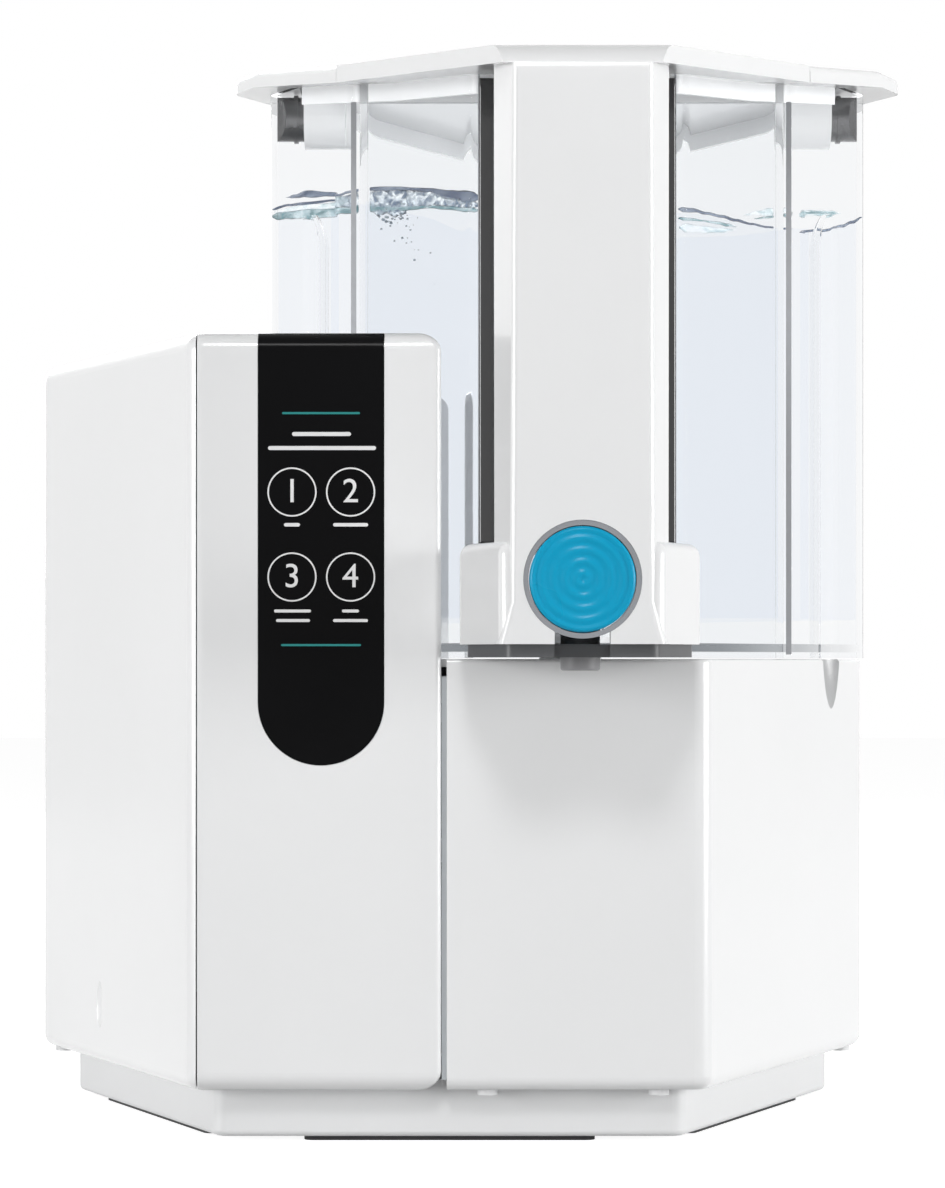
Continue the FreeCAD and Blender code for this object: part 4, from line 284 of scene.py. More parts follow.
def makeBrushLines():
    # fine turned or rolled lines along one axis
    group = bpy.data.node_groups.new("brushLines", "ShaderNodeTree")
    groupSocket(group, "Stretch", "NodeSocketVector", "INPUT", (40.0, 900.0, 900.0))
    groupSocket(group, "Height", "NodeSocketFloat", "OUTPUT")
    inside = group.nodes.new("NodeGroupInput")
    outside = group.nodes.new("NodeGroupOutput")
    place = group.nodes.new("ShaderNodeTexCoord")
    stretch = group.nodes.new("ShaderNodeVectorMath")
    stretch.operation = "MULTIPLY"
    lines = group.nodes.new("ShaderNodeTexNoise")
    lines.inputs["Scale"].default_value = 1.0
    lines.inputs["Detail"].default_value = 4.0
    group.links.new(place.outputs["Object"], stretch.inputs[0])
    group.links.new(inside.outputs["Stretch"], stretch.inputs[1])
    group.links.new(stretch.outputs["Vector"], lines.inputs["Vector"])
    group.links.new(lines.outputs["Fac"], outside.inputs["Height"])
    return group


mouldGrain = makeMouldGrain()
tintDrift = makeTintDrift()
brushLines = makeBrushLines()


# materials
def startMaterial(name):
    material = bpy.data.materials.new(name)
    material.use_nodes = True
    return material, material.node_tree, material.node_tree.nodes["Principled BSDF"]


def addGroup(tree, group, values):
    node = tree.nodes.new("ShaderNodeGroup")
    node.node_tree = group
    for name, value in values.items():
        node.inputs[name].default_value = value
    return node


def addGrain(tree, fineness, rough):
    values = {"Fineness": fineness, "Roughness Low": rough[0], "Roughness High": rough[1]}
    return addGroup(tree, mouldGrain, values)


def addBump(tree, shader, height, strength, distance):
    bump = tree.nodes.new("ShaderNodeBump")
    bump.inputs["Strength"].default_value = strength
    bump.inputs["Distance"].default_value = distance
    tree.links.new(height, bump.inputs["Height"])
    tree.links.new(bump.outputs["Normal"], shader.inputs["Normal"])


def tone(colour, factor=1.0):
    return tuple(min(part * factor, 1.0) for part in colour) + (1.0,)


def plastic(name, colour, rough, drift=0.97, fineness=900.0, grain=0.05, coat=0.0, specular=0.5):
    material, tree, shader = startMaterial(name)
    tint = addGroup(tree, tintDrift, {"Tone A": tone(colour), "Tone B": tone(colour, drift), "Scale": 7.0})
    skin = addGrain(tree, fineness, rough)
    tree.links.new(tint.outputs["Color"], shader.inputs["Base Color"])
    tree.links.new(skin.outputs["Roughness"], shader.inputs["Roughness"])
    addBump(tree, shader, skin.outputs["Height"], grain, 0.0002)
    shader.inputs["Coat Weight"].default_value = coat
    shader.inputs["Coat Roughness"].default_value = 0.08
    shader.inputs["Specular IOR Level"].default_value = specular
    return material


def metal(name, colour, rough, stretch, lines=0.12):
    material, tree, shader = startMaterial(name)
    tint = addGroup(tree, tintDrift, {"Tone A": tone(colour), "Tone B": tone(colour, 0.86), "Scale": 30.0})
    skin = addGrain(tree, 1400.0, rough)
    brushed = addGroup(tree, brushLines, {"Stretch": stretch})
    tree.links.new(tint.outputs["Color"], shader.inputs["Base Color"])
    tree.links.new(skin.outputs["Roughness"], shader.inputs["Roughness"])
    addBump(tree, shader, brushed.outputs["Height"], lines, 0.0003)
    shader.inputs["Metallic"].default_value = 1.0
    return material


def letLightThrough(tree, shader):
    # lamps shine through clear walls instead of being stopped by them
    out = tree.nodes["Material Output"]
    seen = tree.nodes.new("ShaderNodeLightPath")
    clear = tree.nodes.new("ShaderNodeBsdfTransparent")
    pick = tree.nodes.new("ShaderNodeMixShader")
    tree.links.new(seen.outputs["Is Shadow Ray"], pick.inputs[0])
    tree.links.new(shader.outputs[0], pick.inputs[1])
    tree.links.new(clear.outputs[0], pick.inputs[2])
    tree.links.new(pick.outputs[0], out.inputs["Surface"])


def clearPlastic(name, settings):
    # moulded clear wall: slight waviness, and long paths through it turn grey
    material, tree, shader = startMaterial(name)
    shader.inputs["Base Color"].default_value = tone(settings["colour"])
    shader.inputs["Transmission Weight"].default_value = 1.0
    shader.inputs["IOR"].default_value = settings["ior"]
    skin = addGrain(tree, settings["waveScale"], (0.0, settings["haze"]))
    tree.links.new(skin.outputs["Roughness"], shader.inputs["Roughness"])
    addBump(tree, shader, skin.outputs["Height"], settings["wave"], 0.0004)
    depth = tree.nodes.new("ShaderNodeVolumeAbsorption")
    depth.inputs["Color"].default_value = tone(settings["depthColour"])
    depth.inputs["Density"].default_value = settings["density"]
    tree.links.new(depth.outputs[0], tree.nodes["Material Output"].inputs["Volume"])
    letLightThrough(tree, shader)
    return material


clearWall = {
    "colour": (0.985, 0.99, 0.995),
    "ior": 1.05,
    "haze": 0.02,
    "wave": 0.02,
    "waveScale": 22.0,
    "depthColour": (0.3, 0.33, 0.36),
    "density": 7.0,
}

finishes = {
    "whiteGloss": plastic("whiteGloss", (0.82, 0.825, 0.83), (0.2, 0.27), coat=0.35, grain=0.03),
    "whiteSatin": plastic("whiteSatin", (0.76, 0.765, 0.77), (0.38, 0.46), grain=0.08),
    "pianoBlack": plastic("pianoBlack", (0.003, 0.003, 0.0034), (0.16, 0.24), drift=1.6, grain=0.02,
                          specular=0.05),
    "footRubber": plastic("footRubber", (0.03, 0.03, 0.032), (0.7, 0.85), drift=0.7, fineness=600,
                          grain=0.4),
    "greyMould": plastic("greyMould", (0.36, 0.37, 0.385), (0.42, 0.55), fineness=700, grain=0.25),
    "blackMould": plastic("blackMould", (0.018, 0.018, 0.02), (0.4, 0.55), drift=0.7, fineness=700,
                          grain=0.25),
    "darkMould": plastic("darkMould", (0.075, 0.078, 0.083), (0.35, 0.5), drift=0.85, grain=0.15),
    "rockerGloss": plastic("rockerGloss", (0.02, 0.02, 0.022), (0.15, 0.25), drift=0.8, coat=0.3),
    "canisterWhite": plastic("canisterWhite", (0.8, 0.82, 0.84), (0.22, 0.3), coat=0.2),
    "sealRubber": plastic("sealRubber", (0.02, 0.02, 0.02), (0.55, 0.7), drift=0.7, grain=0.3),
    "tubeWhite": plastic("tubeWhite", (0.72, 0.76, 0.79), (0.3, 0.4), coat=0.1),
    "boardGreen": plastic("boardGreen", (0.02, 0.11, 0.045), (0.25, 0.4), drift=0.75, fineness=300,
                          grain=0.2),
    "wireRed": plastic("wireRed", (0.35, 0.02, 0.015), (0.35, 0.5), drift=0.85),
    "linerBlack": plastic("linerBlack", (0.012, 0.012, 0.013), (0.1, 0.18), drift=1.5, coat=0.5),
    "paintedCan": plastic("paintedCan", (0.03, 0.03, 0.033), (0.3, 0.45), drift=0.8, fineness=500,
                          grain=0.2),
    "turnedSteel": metal("turnedSteel", (0.42, 0.42, 0.43), (0.24, 0.34), (900.0, 60.0, 60.0)),
    "knobSteel": metal("knobSteel", (0.2, 0.2, 0.205), (0.2, 0.3), (900.0, 60.0, 60.0)),
    # cornerShadeGrey is painted shade for the clear tanks' corners
    "cornerShadeGrey": plastic("cornerShadeGrey", (0.36, 0.37, 0.39), (0.4, 0.5), grain=0.05),
    # leafShadeGrey is painted shade for the housing's leaf-shaped recesses
    "leafShadeGrey": plastic("leafShadeGrey", (0.42, 0.425, 0.43), (0.25, 0.33), grain=0.04),
    # nozzleShadeGrey: the spout nozzle is a real part, but its mid grey is picked so that it stands in for
    # the soft shadow under the valve block, partly painted shade
    "nozzleShadeGrey": plastic("nozzleShadeGrey", (0.3, 0.3, 0.31), (0.4, 0.5), grain=0.1),
    "zincSteel": metal("zincSteel", (0.52, 0.53, 0.54), (0.3, 0.45), (60.0, 900.0, 900.0)),
    "springSteel": metal("springSteel", (0.5, 0.5, 0.51), (0.2, 0.3), (300.0, 300.0, 300.0)),
    "bezelChrome": metal("bezelChrome", (0.3, 0.31, 0.33), (0.22, 0.3), (200.0, 200.0, 200.0), 0.04),
    "pinBrass": metal("pinBrass", (0.72, 0.55, 0.28), (0.2, 0.3), (300.0, 60.0, 300.0)),
    "clearTank": clearPlastic("clearTank", clearWall),
}

nodeFinish = {
    "whiteGloss": ["housing_shell", "deck_plate", "filter_cover", "handle_frame", "clean_hatch",
                   "tap_tank_top", "fill_flap"],
    "whiteSatin": ["base_pan", "housing_screws", "solenoid_body", "tap_dock", "clean_dock",
                   "dispense_valve", "clean_inlet_valve", "clean_inlet_poppet", "dispense_plunger",
                   "tap_outlet_valve", "tap_strainer", "tap_outlet_poppet"],
    "pianoBlack": ["graphic_strip"],
    "footRubber": ["rubber_feet"],
    "greyMould": ["rear_service_panel", "bay_liner"],
    "blackMould": ["power_inlet", "power_switch_frame", "solenoid_coil", "board_components"],
    "darkMould": ["filter_manifold", "pump_head", "dispenser_base"],
    "rockerGloss": ["power_rocker"],
    "canisterWhite": ["prefilter_canister", "carbon_canister", "membrane_canister"],
    "sealRubber": ["prefilter_seals", "carbon_seals", "membrane_seals", "pump_mounts", "clean_inlet_seal",
                   "tap_outlet_seal"],
    "tubeWhite": ["water_tubes"],
    "boardGreen": ["control_board"],
    "wireRed": ["wire_harness"],
    "linerBlack": ["grip_liner"],
    "paintedCan": ["motor_can"],
    "knobSteel": ["pivot_pins"],
    "nozzleShadeGrey": ["spout_nozzle"],
    "turnedSteel": ["motor_shaft", "solenoid_plunger"],
    "zincSteel": ["pump_bracket", "board_bracket"],
    "springSteel": ["dispense_spring", "clean_inlet_spring", "tap_outlet_spring", "solenoid_spring"],
    "bezelChrome": ["button_bezel"],
    "pinBrass": ["inlet_pins"],
    "clearTank": ["clean_tank", "tap_tank"],
}
for finish, names in nodeFinish.items():
    for name in names:
        node = nodes[name]
        node.data.materials.clear()
        node.data.materials.append(finishes[finish])
print("nodes finished:", sum(len(names) for names in nodeFinish.values()))

# painted shade: the leaf-shaped recesses at the tips of the tank's two flutes, sunk in the housing's slanted
# sides, get a greyer tone that stands in for the shade inside them
leafTip = {
    "axisX": (0.128486, -0.061776),
    "axisY": -0.006418,
    "reach": 0.0118,
    "low": 0.133,
    "high": 0.1525,
    "slope": (0.1, 0.7),
}


def paintLeafTipShade(m):
    shell = nodes["housing_shell"]
    shell.data.materials.append(finishes["leafShadeGrey"])
    count = 0
    # faces in the recesses get the grey that paints their shade
    for face in shell.data.polygons:
        place = shell.matrix_world @ face.center
        near = min(math.hypot(place.x - x, place.y - m["axisY"]) for x in m["axisX"]) < m["reach"]
        if near and m["low"] < place.z < m["high"] and m["slope"][0] < face.normal.z < m["slope"][1]:
            face.material_index = 1
            count += 1
    print("leaf tip faces:", count)


paintLeafTipShade(leafTip)


# mesh helpers
def newPiece(name, points, faces, material, body, smooth=True):
    mesh = bpy.data.meshes.new(name)
    mesh.from_pydata([tuple(point) for point in points], [], faces)
    mesh.validate()
    tidy = bmesh.new()
    tidy.from_mesh(mesh)
    bmesh.ops.recalc_face_normals(tidy, faces=tidy.faces)
    tidy.to_mesh(mesh)
    tidy.free()
    for face in mesh.polygons:
        face.use_smooth = smooth
    mesh.materials.append(material)
    piece = bpy.data.objects.new(name, mesh)
    scene.collection.objects.link(piece)
    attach(piece, body)
    return piece


def boxPiece(name, low, high, material, body):
    (x0, y0, z0), (x1, y1, z1) = low, high
    corners = [(x, y, z) for z in (z0, z1) for x, y in ((x0, y0), (x1, y0), (x1, y1), (x0, y1))]
    faces = [(0, 1, 2, 3), (4, 5, 6, 7), (0, 1, 5, 4), (1, 2, 6, 5), (2, 3, 7, 6), (3, 0, 4, 7)]
    newPiece(name, corners, faces, material, body, smooth=False)


def fromPicture(pixel, planeY):
    # a picture's pixel carried to an upright plane, in metres
    reach = (planeY - camera["place"][1]) / camera["focalPixels"]
    x = camera["place"][0] + (pixel[0] - camera["axisPixel"][0]) * reach
    z = camera["place"][2] + (camera["axisPixel"][1] - pixel[1]) * reach
    return Vector((x, planeY, z))


# pale strip behind the slit between the filter cover and the housing's front, put there so that the slit's
# shade reads light grey instead of black: painted light
edgeStrip = {
    "low": (-0.009, -0.1129, 0.0205),
    "high": (-0.0045, -0.1119, 0.1465),
}
boxPiece("coverEdgeStrip", edgeStrip["low"], edgeStrip["high"], finishes["tubeWhite"], "base_unit")

# push button with ripples
buttonLook = {
    "colour": (0.0, 0.36, 0.6),
    "rough": (0.24, 0.32),
    "rings": 4,
    "ringHeight": 0.00042,
    "faceRadius": 0.0138,
    "edgeRound": 0.0012,
    "faceInset": 0.0001,
    "edgeInset": 0.00002,
    "faceSteps": 60,
    "edgeSteps": 8,
    "steps": 96,
}


def makeButton(b):
    low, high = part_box("dispense_button")
    middle = (low + high) / 2
    radius = (high.x - low.x) / 2
    profile = []
    for index in range(b["faceSteps"] + 1):
        r = b["faceRadius"] * index / b["faceSteps"]
        wave = 0.5 - 0.5 * math.cos(2 * math.pi * b["rings"] * r / b["faceRadius"])
        profile.append((r, b["faceInset"] + b["ringHeight"] * (1 - wave)))
    edge = b["edgeRound"]
    for index in range(b["edgeSteps"] + 1):
        turn = math.pi / 2 * index / b["edgeSteps"]
        depth = b["edgeInset"] + edge * (1 - math.cos(turn))
        profile.append((radius - edge + edge * math.sin(turn), depth))
    profile.append((radius, high.y - low.y))
    points, faces = [], []
    steps = b["steps"]
    for r, depth in profile[1:]:
        for step in range(steps):
            angle = 2 * math.pi * step / steps
            points.append((middle.x + r * math.cos(angle), low.y + depth, middle.z + r * math.sin(angle)))
    rows = len(profile) - 1
    for row in range(rows - 1):
        here, below = row * steps, (row + 1) * steps
        for step in range(steps):
            after = (step + 1) % steps
            faces.append((here + step, here + after, below + after, below + step))
    points.append((middle.x, low.y + profile[0][1], middle.z))
    points.append((middle.x, high.y, middle.z))
    hub, back = len(points) - 2, len(points) - 1
    for step in range(steps):
        after = (step + 1) % steps
        faces.append((hub, after, step))
        faces.append((back, (rows - 1) * steps + step, (rows - 1) * steps + after))
    material = plastic("rippleTeal", b["colour"], b["rough"], drift=0.9, grain=0.02, specular=0.2)
    piece = newPiece("rippleButton", points, faces, material, "button_unit")
    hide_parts("dispense_button")


makeButton(buttonLook)
print("button done")

# plain marks on the black strip, placed by the picture's pixels
stripMarks = {
    "lift": 0.00008,
    "thick": 0.00005,
    "white": (0.8, 0.8, 0.8),
    "teal": (0.0, 0.22, 0.21),
    "cornerSteps": 6,
    "ringPixels": 24.6,
    "ringLine": 1.5,
    "ringSteps": 72,
    "ringCentres": [(292, 492), (350.6, 492), (292, 577), (350.6, 577)],
    # left, top, right and bottom of each bar
    "tealBars": [(282, 412, 360, 414.2), (281, 644, 361, 646.2)],
    "plainBars": [
        (292, 432, 351, 436), (268, 446, 376, 450),
        (284, 523, 300, 526.5), (333, 523, 368, 526.5),
        (274, 609.5, 311, 612.5), (276, 619, 310, 622),
        (342, 609.5, 359, 612.5), (333, 619, 368, 622),
    ],
    "digitPixels": 34,
}


def makeBar(name, box, planeY, material):
    # flat bar with round ends
    left, top, right, bottom = box
    a = fromPicture((left, bottom), planeY)
    c = fromPicture((right, top), planeY)
    bend = min((c.z - a.z) / 2, (c.x - a.x) / 2)
    corners = []
    for x, z, start in [
        (c.x - bend, c.z - bend, 0), (a.x + bend, c.z - bend, 90),
        (a.x + bend, a.z + bend, 180), (c.x - bend, a.z + bend, 270),
    ]:
        for step in range(stripMarks["cornerSteps"] + 1):
            angle = math.radians(start + 90 * step / stripMarks["cornerSteps"])
            corners.append((x + bend * math.cos(angle), z + bend * math.sin(angle)))
    count = len(corners)
    backY = planeY + stripMarks["thick"]
    points = [(x, planeY, z) for x, z in corners] + [(x, backY, z) for x, z in corners]
    faces = [tuple(range(count)), tuple(range(2 * count - 1, count - 1, -1))]
    for step in range(count):
        after = (step + 1) % count
        faces.append((step, after, count + after, count + step))
    newPiece(name, points, faces, material, "cover_unit", smooth=False)


def makeRing(name, middle, outer, inner, material):
    steps = stripMarks["ringSteps"]
    thick = stripMarks["thick"]
    points, faces = [], []
    for radius, depth in [(outer, 0), (inner, 0), (inner, thick), (outer, thick)]:
        for step in range(steps):
            angle = 2 * math.pi * step / steps
            x = middle.x + radius * math.cos(angle)
            points.append((x, middle.y + depth, middle.z + radius * math.sin(angle)))
    for row in range(4):
        here, below = row * steps, (row + 1) % 4 * steps
        for step in range(steps):
            after = (step + 1) % steps
            faces.append((here + step, here + after, below + after, below + step))
    newPiece(name, points, faces, material, "cover_unit", smooth=False)


def makeDigit(name, word, middle, size, material):
    thick = stripMarks["thick"]
    figure = bpy.data.curves.new(name, "FONT")
    figure.body = word
    figure.align_x = "CENTER"
    figure.align_y = "CENTER"
    figure.size = size
    figure.extrude = thick / 2
    figure.materials.append(material)
    digit = bpy.data.objects.new(name, figure)
    digit.location = (middle.x, middle.y + thick / 2, middle.z)
    digit.rotation_euler = (math.radians(90), 0, 0)
    scene.collection.objects.link(digit)
    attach(digit, "cover_unit")


def makeStripMarks(m):
    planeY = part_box("graphic_strip")[0].y - m["lift"]
    white = plastic("printWhite", m["white"], (0.3, 0.4), drift=0.94, grain=0.02)
    teal = plastic("printTeal", m["teal"], (0.3, 0.4), drift=0.9, grain=0.02)
    for index, box in enumerate(m["tealBars"]):
        makeBar("tealBar" + str(index + 1), box, planeY, teal)
    for index, box in enumerate(m["plainBars"]):
        makeBar("plainBar" + str(index + 1), box, planeY, white)
    scale = (planeY - camera["place"][1]) / camera["focalPixels"]
    outer = m["ringPixels"] * scale
    inner = outer - m["ringLine"] * scale
    for index, centre in enumerate(m["ringCentres"]):
        word = str(index + 1)
        middle = fromPicture(centre, planeY)
        makeRing("stageRing" + word, middle, outer, inner, white)
        makeDigit("stageDigit" + word, word, middle, m["digitPixels"] * scale, white)


makeStripMarks(stripMarks)
print("strip marks done")

# water in the two tanks, in measures from the middle of the two tanks' outline
water = {
    "tankX": 0.033355,
    "middleY": 0.0265,
    "middlePixel": 570.5,
    "endHalf": 0.104,
    "frontHalf": 0.034,
    "depthHalf": 0.142,
    "seam": -0.062,
    "halfSeam": 0.0004,
    "wall": 0.0028,
    "gap": 0.0006,
    "floor": 0.1656,
    "full": 0.3,
    "slice": 0.004,
    "swell": 0.0003,
    "colour": (0.955, 0.968, 0.99),
    "ior": 1.0,
    # the valve block's notch in the clean tank's front: half its width and its depth
    "notch": (0.011, 0.0135),
    # the upright flute in each side of the tap tank: place along the tank and depth there
    "flute": [(-0.0405, 0), (-0.037, 0.0038), (-0.03, 0.0056), (-0.023, 0.0038), (-0.0195, 0)],
    # where the surface meets the front walls in the picture, from left to right
    "shoreline": [(273, 214), (310, 208), (349, 203), (385, 200), (420, 201), (468, 204), (678, 214),
                  (705, 216), (735, 222), (765, 227), (792, 229), (815, 230), (840, 226), (862, 218)],
}
tankSlant = (water["endHalf"] - water["frontHalf"]) / water["depthHalf"]
wallInset = water["wall"] + water["gap"]


def halfWidth(y, inset):
    return water["endHalf"] - tankSlant * abs(y) - inset * math.sqrt(1 + tankSlant ** 2)


def onWall(pixelX, pixelY, inset):
    # the point inside a front wall, in tank measures, that the picture shows at a pixel
    side = -1 if pixelX < water["middlePixel"] else 1
    frontEnd = -water["depthHalf"] + inset
    low, high = frontEnd, 0.0
    for _ in range(40):
        y = (low + high) / 2
        x = fromPicture((pixelX, pixelY), water["middleY"] + y).x - water["tankX"]
        if side * x > halfWidth(y, inset):
            low = y
        else:
            high = y
    y = min(max((low + high) / 2, frontEnd), 0.0)
    if y < frontEnd + 0.0005:
        y = frontEnd
    spot = fromPicture((pixelX, pixelY), water["middleY"] + y)
    return spot.x - water["tankX"], y, spot.z


def alongKeys(keys, x):
    if x <= keys[0][0]:
        return keys[0][1]
    for (x0, z0), (x1, z1) in zip(keys, keys[1:]):
        if x <= x1:
            part = (x - x0) / (x1 - x0)
            part = part * part * (3 - 2 * part)
            return z0 + (z1 - z0) * part
    return keys[-1][1]


def cleanRing(inset):
    front = -water["depthHalf"] + inset
    back = water["seam"] - water["halfSeam"] - inset
    half, deep = water["notch"]
    return [
        (-halfWidth(front, inset), front), (-half, front), (-half, front + deep), (half, front + deep),
        (half, front), (halfWidth(front, inset), front), (halfWidth(back, inset), back),
        (-halfWidth(back, inset), back),
    ]


def tapRing(inset):
    front = water["seam"] + water["halfSeam"] + inset
    back = water["depthHalf"] - inset
    right = [(halfWidth(front, inset), front)]
    for y, dent in water["flute"]:
        right.append((halfWidth(y, inset + dent), y))
    right += [(halfWidth(0, inset), 0), (halfWidth(back, inset), back)]
    return right + [(-x, y) for x, y in reversed(right)]


def surfaceHeight(keys, x):
    return alongKeys(keys, x) + water["swell"] * math.sin(143 * x + 3)


def waterBody(name, ring, keys, body):
    # closed volume whose top follows the waves from left to right
    shape = bmesh.new()
    low = [shape.verts.new((x, y, water["floor"])) for x, y in ring]
    high = [shape.verts.new((x, y, water["full"])) for x, y in ring]
    shape.faces.new(low)
    shape.faces.new(high)
    for index in range(len(ring)):
        after = (index + 1) % len(ring)
        shape.faces.new((low[index], low[after], high[after], high[index]))
    reach = max(x for x, y in ring)
    slices = math.ceil(2 * reach / water["slice"])
    for index in range(1, slices):
        cut = -reach + 2 * reach * index / slices
        bmesh.ops.bisect_plane(
            shape, geom=shape.verts[:] + shape.edges[:] + shape.faces[:], dist=0.00001,
            plane_co=(cut, 0, 0), plane_no=(1, 0, 0),
        )
    for vert in shape.verts:
        if vert.co.z > water["full"] - 0.001:
            vert.co.z = surfaceHeight(keys, vert.co.x)
        vert.co += Vector((water["tankX"], water["middleY"], 0))
    bmesh.ops.recalc_face_normals(shape, faces=shape.faces)
    mesh = bpy.data.meshes.new(name)
    shape.to_mesh(mesh)
    shape.free()
    mesh.materials.append(waterClear)
    piece = bpy.data.objects.new(name, mesh)
    scene.collection.objects.link(piece)
    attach(piece, body)


def makeWaterMaterial():
    material, tree, shader = startMaterial("waterClear")
    shader.inputs["Base Color"].default_value = tone(water["colour"])
    shader.inputs["Transmission Weight"].default_value = 1.0
    shader.inputs["IOR"].default_value = water["ior"]
    ripple = addGrain(tree, 60.0, (0.0, 0.01))
    tree.links.new(ripple.outputs["Roughness"], shader.inputs["Roughness"])
    letLightThrough(tree, shader)
    return material


def paintedShoreMaterial(name, dark, light, strength, scale):
    # painted reflection and shade: broken bands of blue that fade in and out along the surface, standing in
    # for how the water's surface line reflects and bends light at the walls
    material, tree, shader = startMaterial(name)
    place = tree.nodes.new("ShaderNodeTexCoord")
    stretch = tree.nodes.new("ShaderNodeMapping")
    stretch.inputs["Scale"].default_value = scale
    cloud = tree.nodes.new("ShaderNodeTexNoise")
    cloud.inputs["Scale"].default_value = 1.0
    cloud.inputs["Detail"].default_value = 5.0
    cloud.inputs["Distortion"].default_value = 0.7
    ramp = tree.nodes.new("ShaderNodeValToRGB")
    ramp.color_ramp.elements[0].position = 0.4
    ramp.color_ramp.elements[0].color = tone(dark)
    ramp.color_ramp.elements[1].position = 0.62
    ramp.color_ramp.elements[1].color = tone(light)
    fade = tree.nodes.new("ShaderNodeMapRange")
    fade.inputs["From Min"].default_value = 0.36
    fade.inputs["From Max"].default_value = 0.64
    fade.inputs["To Min"].default_value = strength[0]
    fade.inputs["To Max"].default_value = strength[1]
    tree.links.new(place.outputs["Object"], stretch.inputs["Vector"])
    tree.links.new(stretch.outputs["Vector"], cloud.inputs["Vector"])
    tree.links.new(cloud.outputs["Fac"], ramp.inputs["Fac"])
    tree.links.new(ramp.outputs["Color"], shader.inputs["Base Color"])
    tree.links.new(cloud.outputs["Fac"], fade.inputs["Value"])
    tree.links.new(fade.outputs["Result"], shader.inputs["Alpha"])
    shader.inputs["Roughness"].default_value = 0.15
    return material


waterClear = makeWaterMaterial()
# painted tones: the water's surface line seen through the walls, and the air bubbles' grey
paintedShoreLooks = {
    # dark tone, light tone, alpha from dark to light, scale along x, y and z
    "deepStreak": ((0.05, 0.07, 0.12), (0.16, 0.2, 0.27), (0.95, 0.75), (60, 60, 300)),
    "tealStreak": ((0.1, 0.2, 0.22), (0.4, 0.53, 0.56), (0.85, 0.4), (160, 160, 500)),
    "mixStreak": ((0.08, 0.12, 0.18), (0.6, 0.7, 0.76), (0.9, 0.12), (300, 300, 520)),
    "paleStreak": ((0.3, 0.46, 0.5), (0.75, 0.84, 0.88), (0.5, 0.08), (120, 120, 500)),
    "bubbleGrey": ((0.09, 0.13, 0.17), (0.42, 0.5, 0.55), (0.8, 0.3), (900, 900, 900)),
}
paintedStreaks = {name: paintedShoreMaterial(name, *look) for name, look in paintedShoreLooks.items()}

# pixel across, upper and lower edge of each wave line in the picture; each line is painted reflection and
# shade of the water's surface at the front walls
waves = {
    "crestLeft": ("deepStreak", [(273, 208, 211), (290, 204, 206.5), (306, 202, 205), (320, 199.5, 202),
                                 (340, 194, 196.5), (352, 190, 193), (365, 187.5, 191), (385, 186.5, 191),
                                 (400, 186.5, 190), (415, 187.5, 191), (430, 188, 192), (450, 190, 200),
                                 (468, 191, 202), (479, 192, 203)]),
    "footLeft": ("tealStreak", [(273, 213, 220), (290, 211.5, 219.5), (310, 209, 218.5), (330, 208, 216),
                                (349, 207, 214), (365, 203, 212), (385, 205, 212), (405, 206, 211),
                                (430, 205.5, 208.5), (450, 206, 210), (468, 207.5, 212), (479, 208, 213)]),
    "mixLeft": ("mixStreak", [(330, 201, 208), (345, 196, 207), (360, 191, 209), (380, 190, 215),
                              (400, 189, 216), (415, 191, 208), (440, 191, 206), (468, 200, 208),
                              (479, 201, 209)]),
    "mistLeft": ("paleStreak", [(275, 210, 214), (310, 204, 210), (349, 195, 208)]),
    "foamLeft": ("deepStreak", [(288, 197, 198.5), (296, 194.5, 198.5), (308, 190.5, 197.5),
                                (318, 192, 196.5), (331, 195, 196.5)]),
    "curveRight": ("deepStreak", [(679, 206, 212.5), (690, 208, 212.5), (705, 212, 215), (720, 215, 218),
                                  (735, 219, 222.3), (750, 223, 225.3), (765, 226, 228), (780, 227.5, 229.6),
                                  (792, 228, 230)]),
    "curveFarRight": ("deepStreak", [(798, 231.3, 233.6), (812, 231.2, 233.5), (825, 229, 231.5),
                                     (840, 224.5, 227.5), (850, 220.6, 224), (861, 216, 219)]),
    "humpRight": ("paleStreak", [(742, 214.5, 215.5), (755, 211, 215.5), (768, 208, 216), (780, 207, 217),
                                 (792, 208, 218)]),
    "humpFarRight": ("paleStreak", [(798, 210, 219), (812, 210, 218), (826, 210, 216), (838, 212, 215)]),
    "ridgeRight": ("tealStreak", [(753, 218, 219.6), (765, 216.3, 218.6), (780, 213.5, 217),
                                  (792, 213, 217)]),
    "ridgeFarRight": ("tealStreak", [(798, 214, 219), (806, 213.8, 217), (816, 212, 214.6),
                                     (826, 211, 213.5), (836, 213, 215)]),
    "creaseRight": ("tealStreak", [(679, 216, 221), (690, 218, 221), (700, 220, 221.6), (716, 221.5, 224.5),
                                   (726, 223.5, 227), (734, 226, 227.6)]),
    "hazeRight": ("paleStreak", [(680, 223, 232), (700, 226, 233), (720, 228, 232.5), (731, 229, 231)]),
}


waveLook = {
    "inset": 0.0009,
    "thick": 0.0003,
    "section": 8,
    # pixels over which an end tapers, and the share of its height that is left there
    "taper": 6,
    "endShare": 0.25,
    "rippleScale": 0.13,
    "ripplePixels": 0.5,
    "rippleShare": 0.25,
    # the line bends inwards round the flute: depth, place along the tank and half its length
    "fluteDepth": 0.0058,
    "fluteY": -0.03,
    "fluteHalf": 0.0115,
}


